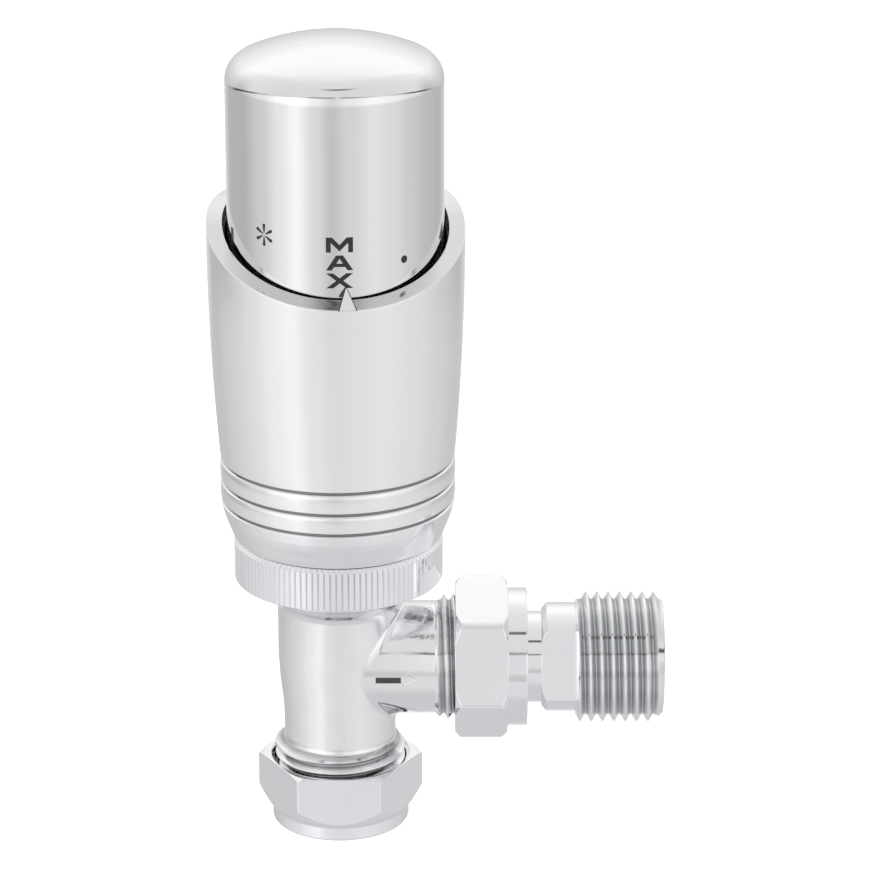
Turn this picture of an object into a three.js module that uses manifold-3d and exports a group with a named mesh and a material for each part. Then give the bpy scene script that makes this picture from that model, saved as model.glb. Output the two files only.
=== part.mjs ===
// Angled thermostatic radiator valve with a sensor head, as separate pieces.
// Millimetres, +Z up. Origin: centre of the pipe entry, on the underside of the compression nut.
// The valve stands on the Z axis and its side arm points along +X.

import * as THREE from 'three';
import * as BufferGeometryUtils from 'three/addons/utils/BufferGeometryUtils.js';
import Module from 'manifold-3d';

const wasm = await Module();
wasm.setup();

// ---- Driving dimensions -----------------------------------------------------------------------

const FACETS = { outer: 32, inner: 24, small: 14 };

// Clearances: between pieces that turn or slide, and between a piece and its own groove.
const GAP = 0.3;
const GROOVE_GAP = 0.15;

// The usual broken edge, and how far a cutting body runs past the face that it cuts.
const CHAMFER = 0.6;
const OVERRUN = 1;

// Threads, as crest and root radius and pitch.
const PIPE_THREAD = { crest: 10.45, root: 9.4, pitch: 1.814 };
const ARM_THREAD = { crest: 10.02, root: 9.2, pitch: 1.5 };
const HEAD_THREAD = { crest: 14.85, root: 14.0, pitch: 1.5 };

const HEX_ACROSS_FLATS = 23;
const HEX_CORNER = HEX_ACROSS_FLATS / Math.sqrt( 3 );
const PIPE_HOLE = 7.65;

const BODY = {
	mouth: 5.6,
	mouthCone: { radius: 9.35, depth: 3.3 },
	threadShown: 10.6,
	threadEnd: 14.0,
	neck: 8.95,
	neckTop: 18.0,
	waist: { radius: 9.35, height: 23.2 },
	barrel: 9.75,
	barrelStart: 28.5,
	barrelTop: 36.9,
	flare: { radius: 10.85, height: 38.9 },
	flangeBottom: 41.0,
	flangeTop: 44.6,
	pipeStop: 19.5,
	waterway: 5.4,
	seatRadius: 6.4,
	chamberFloor: 23.2,
	seatTop: 23.9,
	chamber: 7.6,
	insertBore: 8.6,
	insertBoreBottom: 35.5,
	counterbore: 10.7,
	counterboreBottom: 41.6,
};

const ARM = {
	height: 27.5,
	radius: 9.05,
	bore: 6,
	boreStart: 6.9,
	threadStart: 15.6,
	visibleThreadEnd: 18.9,
	end: 24.6,
};

const COMPRESSION_NUT = {
	collar: 11, collarTop: 2.3, coneTop: 5.2, top: 11, mouth: 11.2, floor: 2.6,
	oliveSeat: { radius: 9.35, height: 4.4 },
};

// The olive's section as [ radius, height ] points.
const OLIVE = [ [ 7.6, 3.3 ], [ 7.95, 3.3 ], [ 8.7, 4.6 ], [ 8.7, 6 ], [ 7.9, 7.9 ], [ 7.6, 7.9 ] ];

// The union nut, seal, snap ring and tailpiece are placed by their distance from the valve's axis.
const UNION_NUT = {
	start: 18.5, hexEnd: 26.9, end: 30, collar: 11.1, turn: - 14.7, cornerCut: 1.2, coneLength: 0.9,
	threadBoreEnd: 25.2, ringBore: 9.5, lipStart: 28.4, lipBore: 7.75,
};
const UNION_SEAL = { start: 24.9, end: 25.7, inner: 6, outer: 8.6 };
const SNAP_RING = { start: 27.1, end: 28.1, inner: 6.8, outer: 9.1 };
const TAILPIECE = {
	start: 26, bore: 5.6, neck: 7.35, shoulder: 32.3, body: 8.75, flats: 13.3, flatsTilt: - 10.5,
	threadStart: 37.7, end: 51.7,
};

const INSERT = {
	bottom: 35, skirt: 7, thread: 8.25, flange: 10.35, flangeTop: 44.3, hexFlats: 15.5, top: 49.2,
	springBore: 4.4, springFloor: 37, stemBore: 1.9,
};
const GLAND = { bottom: 45.6, spigot: 4.05, shoulder: 49.5, hexFlats: 9, top: 51.8, bore: 1.75 };
const PIN = { radius: 1.5, bottom: 29.7, top: 57.6, grooveZ: 45, groove: 1.05 };

// The valve stands fully open at rest. The disc then lies its lift above the seat.
const LIFT = 2.4;
const DISC = { radius: 6.2, thickness: 2.15, restBottom: BODY.seatTop + LIFT + GROOVE_GAP };
const DISC_HOLDER = { rim: 0.5, rimDrop: 0.7, plate: 1, hub: 3, hubHeight: 4 };
const CLIP = { inner: 1.2, outer: 3.9, thickness: 0.5, groove: 0.9 };

const INSERT_RING = { radius: 7.8, section: 0.68, height: 39.8, groove: 7 };
const GLAND_RING = { radius: 2.3, section: 0.55, height: 47.5, cavity: 3.05 };

const RING_NUT = {
	radius: 16.55, bottom: 42.1, top: 49, chamfer: 0.7, flutes: 110, fluteDepth: 0.35,
	lipBottom: 46.6, lipTop: 48.4, lipBore: 13.3, recess: 15,
};

const HOUSING = {
	bottom: 44.95, flange: 14.7, flangeTop: 46.3, neck: 12.95, baseBottom: 49.1, base: 14.8,
	baseConeBottom: 50.9, baseConeTop: 53.7, baseTop: 51.5, skirt: 16.2, skirtBore: 14.4, top: 65.6,
	hole: 9,
};

const SLEEVE = {
	bottom: 49.3, bottomRadius: 16.5, mouth: 15.3, mouthTop: 50.6,
	skirt: [ [ 17.2, 50.9 ], [ 17.85, 52.6 ] ],
	grooves: [ 55.5, 58.8, 62.3 ], ring: 18.45, groove: 18, grooveHalfWidth: 0.5,
	wallBottom: 63.6, widest: 20.05, widestZ: 100, taper: 0.00113,
	lowerBore: 16.7, lowerBoreBottom: 53.2, lowerBoreTop: 66, bore: 17.5, boreBottom: 67.5,
	rebate: 18.3, rebateDepth: 1.2,
};

// The rim is a slanted plane that rises from the pointer's side to a level back: the plane's height
// on the axis, its slope, the height of the level part, and the direction of the lowest point.
const RIM = { height: 100.3, slope: 0.39, back: 102.7, turn: 6.4 };
const LINER = { outer: 18, inner: 17.15, bottom: 72, depth: 1.6 };
const POINTER = { width: 2.5, rise: 1.7, tailRise: 0.4, apexRadius: 17.2, tailRadius: 19.9 };

const KNOB = { radius: 16.8, bottom: 84, wall: 1.2, edgeRadius: 4.2, top: 129.9, dome: 36 };
const CORE = {
	bottom: 56, neck: 14.1, thread: 12.6, flangeBottom: 68.4, flangeTop: 72, outer: 15.3, inner: 14,
	top: 122.4, topChamfer: 1.6, topHole: 12.6,
};
const RETAINER = { bottom: 61.2, top: 62.2, inner: 13.35, outer: 15.1 };

// Stops that limit the knob: one lug on the housing and one on the knob's core.
const STOPS = { housingLug: 20, coreLug: 17, clearance: 3, inner: 14.5, outer: 15.9, height: 2 };

const CARRIER = {
	bottom: 58, thread: 12.25, blockTop: 72, blockBore: 8.9, cage: 11.6, bore: 10.3, top: 121.5,
	windows: 3, windowWidth: 9, windowDepth: 8, windowBottom: 78, windowTop: 104,
};
const GUIDE_POST = { centre: 10.45, depth: 1.7, width: 4, top: 66, count: 2, clearance: 0.3 };
const CAPSULE = { bottom: 74, radius: 9.9, top: 109, shoulder: 1.5 };
const PLUNGER = { bottom: 57.95, stem: 3, head: 7, headBottom: 71.4, top: 73.7 };
const SPRING_CAP = { bottom: 118.6, top: 121.2, radius: 10 };

const RETURN_SPRING = { bottom: 37.3, top: 44.4, radius: 3.1, wire: 0.42, turns: 4 };
const OVERLOAD_SPRING = { bottom: 109.3, top: 118.3, radius: 7.6, wire: 0.8, turns: 4 };

const FINISHES = {
	chrome: { color: 0xdcdfe2, roughness: 0.12, metalness: 1 },
	satinChrome: { color: 0xd2d5d8, roughness: 0.28, metalness: 1 },
	brass: { color: 0xc9a75a, roughness: 0.35, metalness: 1 },
	steel: { color: 0xb4b6b8, roughness: 0.3, metalness: 1 },
	rubber: { color: 0x1b1b1c, roughness: 0.85, metalness: 0 },
	blackPlastic: { color: 0x141415, roughness: 0.6, metalness: 0 },
	whitePlastic: { color: 0xe4e4e0, roughness: 0.5, metalness: 0 },
};

// ---- Shapes -----------------------------------------------------------------------------------

const radians = THREE.MathUtils.degToRad;

// A body of revolution about Z from points given as [ radius, height ].
function turned( points, facets = FACETS.inner ) {

	const profile = points.map( ( [ radius, height ] ) => new THREE.Vector2( radius, height ) );
	return new THREE.LatheGeometry( profile, facets ).rotateX( Math.PI / 2 );

}

// A hollow body of revolution: the outline runs anticlockwise and closes on itself.
function ring( outline, facets ) {

	return turned( [ ...outline, outline[ 0 ] ], facets );

}

// A plain round bar or disc.
function bar( radius, bottom, top, facets ) {

	return turned( [ [ 0, bottom ], [ radius, bottom ], [ radius, top ], [ 0, top ] ], facets );

}

// A plain tube.
function tube( inner, outer, bottom, top, facets ) {

	return ring( [ [ inner, bottom ], [ outer, bottom ], [ outer, top ], [ inner, top ] ], facets );

}

// An O-ring with a six-sided section.
function torus( { radius, section, height }, facets ) {

	const sides = 6;
	const outline = Array.from( { length: sides }, ( _, side ) => {

		const angle = side / sides * 2 * Math.PI;
		return [ radius + section * Math.cos( angle ), height + section * Math.sin( angle ) ];

	} );
	return ring( outline, facets );

}

// A flat outline of [ x, y ] points, extruded along Z.
function prism( outline, bottom, top ) {

	const shape = new THREE.Shape( outline.map( ( [ x, y ] ) => new THREE.Vector2( x, y ) ) );
	const settings = { depth: top - bottom, bevelEnabled: false };
	return new THREE.ExtrudeGeometry( shape, settings ).translate( 0, 0, bottom );

}

// A hexagonal bar. At a turn of 0 one corner lies on +X.
function hexagon( acrossFlats, bottom, top, turn = 0 ) {

	const corner = acrossFlats / Math.sqrt( 3 );
	const outline = Array.from( { length: 6 }, ( _, side ) => {

		const angle = radians( turn + side * 60 );
		return [ corner * Math.cos( angle ), corner * Math.sin( angle ) ];

	} );
	return prism( outline, bottom, top );

}

// A block with its centre at the given point.
function block( width, depth, height, x, y, z ) {

	return new THREE.BoxGeometry( width, depth, height ).translate( x, y, z );

}

// An arc-shaped lug between two radii, centred on an angle in degrees.
function lug( inner, outer, centre, span, bottom, top ) {

	const steps = 3;
	const arc = ( radius, direction ) => Array.from( { length: steps + 1 }, ( _, step ) => {

		const angle = radians( centre + direction * span * ( step / steps - 0.5 ) );
		return [ radius * Math.cos( angle ), radius * Math.sin( angle ) ];

	} );
	return prism( [ ...arc( outer, 1 ), ...arc( inner, - 1 ) ], bottom, top );

}

class Helix extends THREE.Curve {

	constructor( { radius, bottom, top, wire, turns } ) {

		super();
		Object.assign( this, { radius, turns, start: bottom + wire, rise: top - bottom - 2 * wire } );

	}

	getPoint( t ) {

		const angle = 2 * Math.PI * this.turns * t;
		const x = this.radius * Math.cos( angle );
		const y = this.radius * Math.sin( angle );
		return new THREE.Vector3( x, y, this.start + this.rise * t );

	}

}

function spring( dimensions ) {

	const sides = 5;
	const stepsPerTurn = 9;
	const section = new THREE.Shape( Array.from( { length: sides }, ( _, side ) => {

		const angle = side / sides * 2 * Math.PI;
		const wire = dimensions.wire;
		return new THREE.Vector2( wire * Math.cos( angle ), wire * Math.sin( angle ) );

	} ) );
	const steps = stepsPerTurn * dimensions.turns;
	return new THREE.ExtrudeGeometry( section, { steps, extrudePath: new Helix( dimensions ) } );

}

// Thread ridges on a male part: [ radius, height ] points with one crest for each pitch.
function ridges( thread, from, to ) {

	const count = Math.floor( ( to - from ) / thread.pitch );
	const margin = ( to - from - count * thread.pitch ) / 2;
	return Array.from( { length: count }, ( _, turn ) => {

		const root = from + margin + turn * thread.pitch;
		return [ [ thread.root, root ], [ thread.crest, root + thread.pitch / 2 ] ];

	} ).flat();

}

// ---- Booleans ---------------------------------------------------------------------------------

function toSolid( geometry ) {

	const bare = geometry.clone();
	bare.deleteAttribute( 'normal' );
	bare.deleteAttribute( 'uv' );
	const merged = BufferGeometryUtils.mergeVertices( bare, 1e-4 );
	const corners = Array.from( merged.index.array );
	const kept = [];
	for ( let i = 0; i < corners.length; i += 3 ) {

		const [ a, b, c ] = corners.slice( i, i + 3 );
		if ( a !== b && b !== c && c !== a ) kept.push( a, b, c );

	}

	const mesh = new wasm.Mesh( {
		numProp: 3,
		vertProperties: new Float32Array( merged.attributes.position.array ),
		triVerts: new Uint32Array( kept ),
	} );
	return new wasm.Manifold( mesh );

}

function fromSolid( solid ) {

	const mesh = solid.getMesh();
	const geometry = new THREE.BufferGeometry();
	geometry.setAttribute( 'position', new THREE.BufferAttribute( mesh.vertProperties, 3 ) );
	geometry.setIndex( new THREE.BufferAttribute( mesh.triVerts, 1 ) );
	return geometry;

}

function join( first, ...others ) {

	return fromSolid( others.reduce( ( sum, other ) => sum.add( toSolid( other ) ), toSolid( first ) ) );

}

function cut( first, ...others ) {

	return fromSolid( others.reduce( ( rest, other ) => rest.subtract( toSolid( other ) ), toSolid( first ) ) );

}

function common( first, second ) {

	return fromSolid( toSolid( first ).intersect( toSolid( second ) ) );

}

// Everything above the rim, lowered by a distance measured at right angles to it.
function aboveRim( lowered = 0 ) {

	const tilt = Math.atan( RIM.slope );
	const size = 80;
	const half = size / 2;
	const slanted = block( size, size, size, 0, 0, half - lowered ).rotateX( tilt );
	const level = block( size, size, size, 0, 0, RIM.back + half - lowered );
	return join( slanted.rotateZ( radians( RIM.turn ) ).translate( 0, 0, RIM.height ), level );

}

// ---- Valve body and its fittings --------------------------------------------------------------

function valveBody() {

	const stem = turned( [
		[ 0, BODY.mouth ],
		[ PIPE_THREAD.root, BODY.mouth ],
		[ PIPE_THREAD.crest, BODY.mouth + CHAMFER ],
		[ PIPE_THREAD.crest, BODY.threadShown ],
		...ridges( PIPE_THREAD, BODY.threadShown, BODY.threadEnd ),
		[ BODY.neck, BODY.threadEnd + GAP ],
		[ BODY.neck, BODY.neckTop ],
		[ BODY.waist.radius, BODY.waist.height ],
		[ BODY.barrel, BODY.barrelStart ],
		[ BODY.barrel, BODY.barrelTop ],
		[ BODY.flare.radius, BODY.flare.height ],
		[ HEAD_THREAD.root, BODY.flangeBottom ],
		...ridges( HEAD_THREAD, BODY.flangeBottom, BODY.flangeTop - GAP ),
		[ HEAD_THREAD.root, BODY.flangeTop ],
		[ 0, BODY.flangeTop ],
	], FACETS.outer );

	const arm = alongArm( turned( [
		[ 0, 0 ],
		[ ARM.radius, 0 ],
		[ ARM.radius, ARM.threadStart ],
		...ridges( ARM_THREAD, ARM.threadStart, ARM.visibleThreadEnd ),
		[ ARM_THREAD.crest, ARM.visibleThreadEnd + GAP ],
		[ ARM_THREAD.crest, ARM.end - CHAMFER ],
		[ ARM_THREAD.root, ARM.end ],
		[ 0, ARM.end ],
	], FACETS.outer ) );

	const pipeSocket = turned( [
		[ 0, BODY.mouth - OVERRUN ],
		[ BODY.mouthCone.radius, BODY.mouth - OVERRUN ],
		[ BODY.mouthCone.radius, BODY.mouth ],
		[ PIPE_HOLE, BODY.mouth + BODY.mouthCone.depth ],
		[ PIPE_HOLE, BODY.pipeStop ],
		[ BODY.waterway, BODY.pipeStop + CHAMFER ],
		[ BODY.waterway, BODY.seatTop + OVERRUN ],
		[ 0, BODY.seatTop + OVERRUN ],
	] );

	const chamber = turned( [
		[ 0, BODY.seatTop ],
		[ BODY.seatRadius, BODY.seatTop ],
		[ BODY.seatRadius, BODY.chamberFloor ],
		[ BODY.chamber, BODY.chamberFloor ],
		[ BODY.chamber, BODY.insertBoreBottom ],
		[ BODY.insertBore, BODY.insertBoreBottom ],
		[ BODY.insertBore, BODY.counterboreBottom ],
		[ BODY.counterbore, BODY.counterboreBottom ],
		[ BODY.counterbore, BODY.flangeTop + OVERRUN ],
		[ 0, BODY.flangeTop + OVERRUN ],
	] );

	const armBore = alongArm( bar( ARM.bore, ARM.boreStart, ARM.end + OVERRUN ) );
	return cut( join( stem, arm ), pipeSocket, chamber, armBore );

}

// Turns a shape made on the Z axis so that it lies on the side arm's axis, pointing along +X.
function alongArm( geometry ) {

	return geometry.rotateY( Math.PI / 2 ).translate( 0, 0, ARM.height );

}

function compressionNut() {

	const nut = COMPRESSION_NUT;
	const hexTop = nut.top - CHAMFER;
	const envelope = turned( [
		[ 0, 0 ],
		[ nut.collar - CHAMFER, 0 ],
		[ nut.collar, CHAMFER ],
		[ nut.collar, nut.collarTop ],
		[ HEX_CORNER, nut.coneTop ],
		[ HEX_CORNER, hexTop ],
		[ HEX_CORNER - CHAMFER, nut.top ],
		[ 0, nut.top ],
	] );
	const passage = turned( [
		[ 0, - OVERRUN ],
		[ PIPE_HOLE, - OVERRUN ],
		[ PIPE_HOLE, nut.floor ],
		[ nut.oliveSeat.radius, nut.oliveSeat.height ],
		[ PIPE_THREAD.crest + GAP, nut.oliveSeat.height + GAP ],
		[ PIPE_THREAD.crest + GAP, hexTop ],
		[ nut.mouth, nut.top ],
		[ nut.mouth, nut.top + OVERRUN ],
		[ 0, nut.top + OVERRUN ],
	] );
	const hexBottom = nut.collarTop - GAP;
	const blank = join(
		hexagon( HEX_ACROSS_FLATS, hexBottom, nut.top + OVERRUN ),
		bar( nut.collar + GAP, - OVERRUN, hexBottom + OVERRUN, FACETS.inner ),
	);
	return cut( common( blank, envelope ), passage );

}

function compressionOlive() {

	return ring( OLIVE );

}

function unionNut() {

	const nut = UNION_NUT;
	const envelope = turned( [
		[ 0, nut.start ],
		[ HEX_CORNER - nut.cornerCut, nut.start ],
		[ HEX_CORNER, nut.start + nut.coneLength ],
		[ HEX_CORNER, nut.hexEnd - nut.coneLength ],
		[ HEX_CORNER - nut.cornerCut, nut.hexEnd ],
		[ nut.collar, nut.hexEnd ],
		[ nut.collar, nut.end - GAP ],
		[ nut.collar - GAP, nut.end ],
		[ 0, nut.end ],
	] );
	const passage = turned( [
		[ 0, nut.start - OVERRUN ],
		[ ARM_THREAD.crest + GAP, nut.start - OVERRUN ],
		[ ARM_THREAD.crest + GAP, nut.threadBoreEnd ],
		[ nut.ringBore, nut.threadBoreEnd ],
		[ nut.ringBore, nut.lipStart ],
		[ nut.lipBore, nut.lipStart ],
		[ nut.lipBore, nut.end + OVERRUN ],
		[ 0, nut.end + OVERRUN ],
	] );
	const blank = join(
		hexagon( HEX_ACROSS_FLATS, nut.start - OVERRUN, nut.hexEnd, nut.turn ),
		bar( nut.collar + GAP, nut.hexEnd - OVERRUN, nut.end + OVERRUN, FACETS.inner ),
	);
	return alongArm( cut( common( blank, envelope ), passage ) );

}

function tailpiece() {

	const tail = TAILPIECE;
	const turnedPart = ring( [
		[ tail.bore, tail.start ],
		[ tail.neck, tail.start ],
		[ tail.neck, SNAP_RING.start - GROOVE_GAP ],
		[ SNAP_RING.inner - GROOVE_GAP, SNAP_RING.start - GROOVE_GAP ],
		[ SNAP_RING.inner - GROOVE_GAP, SNAP_RING.end + GROOVE_GAP ],
		[ tail.neck, SNAP_RING.end + GROOVE_GAP ],
		[ tail.neck, tail.shoulder ],
		[ tail.body - CHAMFER, tail.shoulder ],
		[ tail.body, tail.shoulder + CHAMFER ],
		[ tail.body, tail.threadStart ],
		...ridges( PIPE_THREAD, tail.threadStart, tail.end - GAP ),
		[ PIPE_THREAD.root, tail.end ],
		[ tail.bore, tail.end ],
	] );
	const flatLength = tail.threadStart - tail.shoulder + OVERRUN;
	const flatCentre = tail.threadStart - flatLength / 2;
	const spannerFlat = ( side ) => {

		const offset = side * ( tail.flats + tail.body ) / 2;
		const chip = block( 3 * tail.body, tail.body, flatLength, 0, offset, flatCentre );
		return chip.rotateZ( radians( tail.flatsTilt ) );

	};
	return alongArm( cut( turnedPart, spannerFlat( 1 ), spannerFlat( - 1 ) ) );

}

function unionSeal() {

	const { inner, outer, start, end } = UNION_SEAL;
	return alongArm( tube( inner, outer, start, end, FACETS.inner ) );

}

function unionSnapRing() {

	const { inner, outer, start, end } = SNAP_RING;
	return alongArm( tube( inner, outer, start, end, FACETS.inner ) );

}

// ---- Valve insert and spindle -----------------------------------------------------------------

function valveInsert() {

	const halfGroove = INSERT_RING.section + GROOVE_GAP;
	const turnedPart = ring( [
		[ INSERT.stemBore, INSERT.bottom ],
		[ INSERT.skirt, INSERT.bottom ],
		[ INSERT.skirt, INSERT.bottom + CHAMFER ],
		[ INSERT.thread, INSERT.bottom + 2 * CHAMFER ],
		[ INSERT.thread, INSERT_RING.height - halfGroove ],
		[ INSERT_RING.groove, INSERT_RING.height - halfGroove ],
		[ INSERT_RING.groove, INSERT_RING.height + halfGroove ],
		[ INSERT.thread, INSERT_RING.height + halfGroove ],
		[ INSERT.thread, BODY.counterboreBottom + GAP ],
		[ INSERT.flange, BODY.counterboreBottom + GAP ],
		[ INSERT.flange, INSERT.flangeTop ],
		[ INSERT.springBore, INSERT.flangeTop ],
		[ INSERT.springBore, INSERT.springFloor ],
		[ INSERT.stemBore, INSERT.springFloor ],
	], FACETS.inner );
	const spannerHex = cut(
		hexagon( INSERT.hexFlats, INSERT.flangeTop - GAP, INSERT.top ),
		bar( INSERT.springBore, INSERT.flangeTop - OVERRUN, INSERT.top + OVERRUN, FACETS.inner ),
	);
	return join( turnedPart, spannerHex );

}

function glandNut() {

	const halfCavity = GLAND_RING.section + GROOVE_GAP;
	const blank = join(
		bar( GLAND.spigot, GLAND.bottom, GLAND.shoulder + GAP, FACETS.small ),
		hexagon( GLAND.hexFlats, GLAND.shoulder, GLAND.top ),
	);
	return cut(
		blank,
		bar( GLAND.bore, GLAND.bottom - OVERRUN, GLAND.top + OVERRUN, FACETS.small ),
		bar( GLAND_RING.cavity, GLAND_RING.height - halfCavity, GLAND_RING.height + halfCavity, FACETS.small ),
	);

}

function spindlePin() {

	const grooveBottom = PIN.grooveZ - CLIP.groove / 2;
	const grooveTop = PIN.grooveZ + CLIP.groove / 2;
	return turned( [
		[ 0, PIN.bottom ],
		[ PIN.radius, PIN.bottom ],
		[ PIN.radius, grooveBottom ],
		[ PIN.groove, grooveBottom ],
		[ PIN.groove, grooveTop ],
		[ PIN.radius, grooveTop ],
		[ PIN.radius, PIN.top - CHAMFER ],
		[ PIN.radius - CHAMFER, PIN.top ],
		[ 0, PIN.top ],
	], FACETS.small );

}

function spindleClip() {

	const half = CLIP.thickness / 2;
	return tube( CLIP.inner, CLIP.outer, PIN.grooveZ - half, PIN.grooveZ + half, FACETS.small );

}

function discHolder() {

	const plateBottom = DISC.restBottom + DISC.thickness + GAP;
	const rimBottom = DISC.restBottom + DISC_HOLDER.rimDrop;
	const rimInner = DISC.radius + GAP;
	const hubTop = plateBottom + DISC_HOLDER.hubHeight;
	return turned( [
		[ 0, plateBottom ],
		[ rimInner, plateBottom ],
		[ rimInner, rimBottom ],
		[ rimInner + DISC_HOLDER.rim, rimBottom ],
		[ rimInner + DISC_HOLDER.rim, plateBottom + DISC_HOLDER.plate ],
		[ DISC_HOLDER.hub, plateBottom + DISC_HOLDER.plate ],
		[ DISC_HOLDER.hub, hubTop ],
		[ PIN.radius + GROOVE_GAP, hubTop ],
		[ PIN.radius + GROOVE_GAP, PIN.bottom - GROOVE_GAP ],
		[ 0, PIN.bottom - GROOVE_GAP ],
	] );

}

function valveDisc() {

	return bar( DISC.radius, DISC.restBottom, DISC.restBottom + DISC.thickness );

}

// ---- Head: ring nut, housing, sleeve ----------------------------------------------------------

function knurledRingNut() {

	const { radius, bottom, top, flutes, fluteDepth } = RING_NUT;
	const outline = Array.from( { length: flutes * 2 }, ( _, point ) => {

		const angle = point / ( flutes * 2 ) * 2 * Math.PI;
		const reach = radius - ( point % 2 ) * fluteDepth;
		return [ reach * Math.cos( angle ), reach * Math.sin( angle ) ];

	} );
	const passage = turned( [
		[ 0, bottom - OVERRUN ],
		[ HEAD_THREAD.crest + GAP, bottom - OVERRUN ],
		[ HEAD_THREAD.crest + GAP, RING_NUT.lipBottom ],
		[ RING_NUT.lipBore, RING_NUT.lipBottom ],
		[ RING_NUT.lipBore, RING_NUT.lipTop ],
		[ RING_NUT.recess, RING_NUT.lipTop ],
		[ RING_NUT.recess, top + OVERRUN ],
		[ 0, top + OVERRUN ],
	], FACETS.outer );
	const reach = RING_NUT.chamfer + OVERRUN;
	const chamfer = ring( [
		[ radius - RING_NUT.chamfer - OVERRUN, top + OVERRUN ],
		[ radius + OVERRUN, top + OVERRUN - 2 * reach ],
		[ radius + OVERRUN, top + OVERRUN ],
	], flutes / 2 );
	return cut( prism( outline, bottom, top ), passage, chamfer );

}

function headHousing() {

	const h = HOUSING;
	const groove = RETAINER.outer + GROOVE_GAP;
	const shell = ring( [
		[ h.hole, h.bottom ],
		[ h.flange, h.bottom ],
		[ h.flange, h.flangeTop ],
		[ h.neck, h.flangeTop ],
		[ h.neck, h.baseBottom ],
		[ h.base, h.baseBottom ],
		[ h.base, h.baseConeBottom ],
		[ h.skirt, h.baseConeTop ],
		[ h.skirt, h.top ],
		[ h.skirtBore, h.top ],
		[ h.skirtBore, RETAINER.top + GROOVE_GAP ],
		[ groove, RETAINER.top + GROOVE_GAP ],
		[ groove, RETAINER.bottom - GROOVE_GAP ],
		[ h.skirtBore, RETAINER.bottom - GROOVE_GAP ],
		[ h.skirtBore, h.baseTop ],
		[ h.hole, h.baseTop ],
	], FACETS.outer );
	const { inner, outer, housingLug } = STOPS;
	const stopLug = lug( inner, outer, stopLugAngle(), housingLug, h.top - GAP, h.top + STOPS.height );
	const height = GUIDE_POST.top - h.baseTop + GAP;
	const posts = guideAngles().map( ( angle ) => {

		const post = block( GUIDE_POST.depth, GUIDE_POST.width, height, GUIDE_POST.centre, 0, 0 );
		return post.translate( 0, 0, GUIDE_POST.top - height / 2 ).rotateZ( angle );

	} );
	return join( shell, stopLug, ...posts );

}

function guideAngles() {

	return Array.from( { length: GUIDE_POST.count }, ( _, post ) => post / GUIDE_POST.count * 2 * Math.PI );

}

// The core's lug stands at 0 degrees. The housing's lug stands just past it, so that the knob
// can't turn further open than its highest mark.
function stopLugAngle() {

	return STOPS.housingLug / 2 + STOPS.coreLug / 2 + STOPS.clearance;

}

function sleeveRadius( z ) {

	return SLEEVE.widest - SLEEVE.taper * Math.max( SLEEVE.widestZ - z, 0 ) ** 2;

}

function sleeve() {

	const s = SLEEVE;
	const wallTop = RIM.back + OVERRUN;
	const wallSteps = 5;
	const wall = Array.from( { length: wallSteps + 1 }, ( _, step ) => {

		const z = s.wallBottom + ( wallTop - s.wallBottom ) * step / wallSteps;
		return [ sleeveRadius( z ), z ];

	} );
	const rings = s.grooves.flatMap( ( z ) => [
		[ s.ring, z - s.grooveHalfWidth ],
		[ s.groove, z ],
		[ s.ring, z + s.grooveHalfWidth ],
	] );
	const shell = ring( [
		[ s.mouth, s.bottom ],
		[ s.bottomRadius, s.bottom ],
		...s.skirt,
		...rings,
		...wall,
		[ s.bore, wallTop ],
		[ s.bore, s.boreBottom ],
		[ s.lowerBore, s.lowerBoreTop ],
		[ s.lowerBore, s.lowerBoreBottom ],
		[ s.mouth, s.mouthTop ],
	], FACETS.outer );
	const rebate = cut( bar( s.rebate, LINER.bottom - GAP, wallTop, FACETS.outer ), aboveRim( s.rebateDepth ) );
	return cut( shell, aboveRim(), rebate );

}

function blackLiner() {

	return cut( tube( LINER.inner, LINER.outer, LINER.bottom, RIM.back, FACETS.outer ), aboveRim( LINER.depth ) );

}

// A wedge that lies on the rim: a triangle in plan that rises to its point beside the knob.
function pointer() {

	const p = POINTER;
	const foot = GAP;
	const half = p.width / 2;
	const corners = [
		[ - half, - p.tailRadius, foot ],
		[ half, - p.tailRadius, foot ],
		[ 0, - p.apexRadius, foot ],
		[ - half, - p.tailRadius, foot + p.tailRise ],
		[ half, - p.tailRadius, foot + p.tailRise ],
		[ 0, - p.apexRadius, foot + p.rise ],
	];
	const ends = [ [ 0, 2, 1 ], [ 3, 4, 5 ] ];
	const sides = [ [ 0, 1, 4 ], [ 0, 4, 3 ], [ 1, 2, 5 ], [ 1, 5, 4 ], [ 2, 0, 3 ], [ 2, 3, 5 ] ];
	const geometry = new THREE.BufferGeometry();
	geometry.setAttribute( 'position', new THREE.Float32BufferAttribute( corners.flat(), 3 ) );
	geometry.setIndex( [ ends, sides ].flat( 2 ) );
	const lean = new THREE.Matrix4().makeShear( 0, 0, 0, RIM.slope, 0, 0 );
	return geometry.applyMatrix4( lean ).rotateZ( radians( RIM.turn ) ).translate( 0, 0, RIM.height );

}

// ---- Head: knob and sensor --------------------------------------------------------------------

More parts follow.
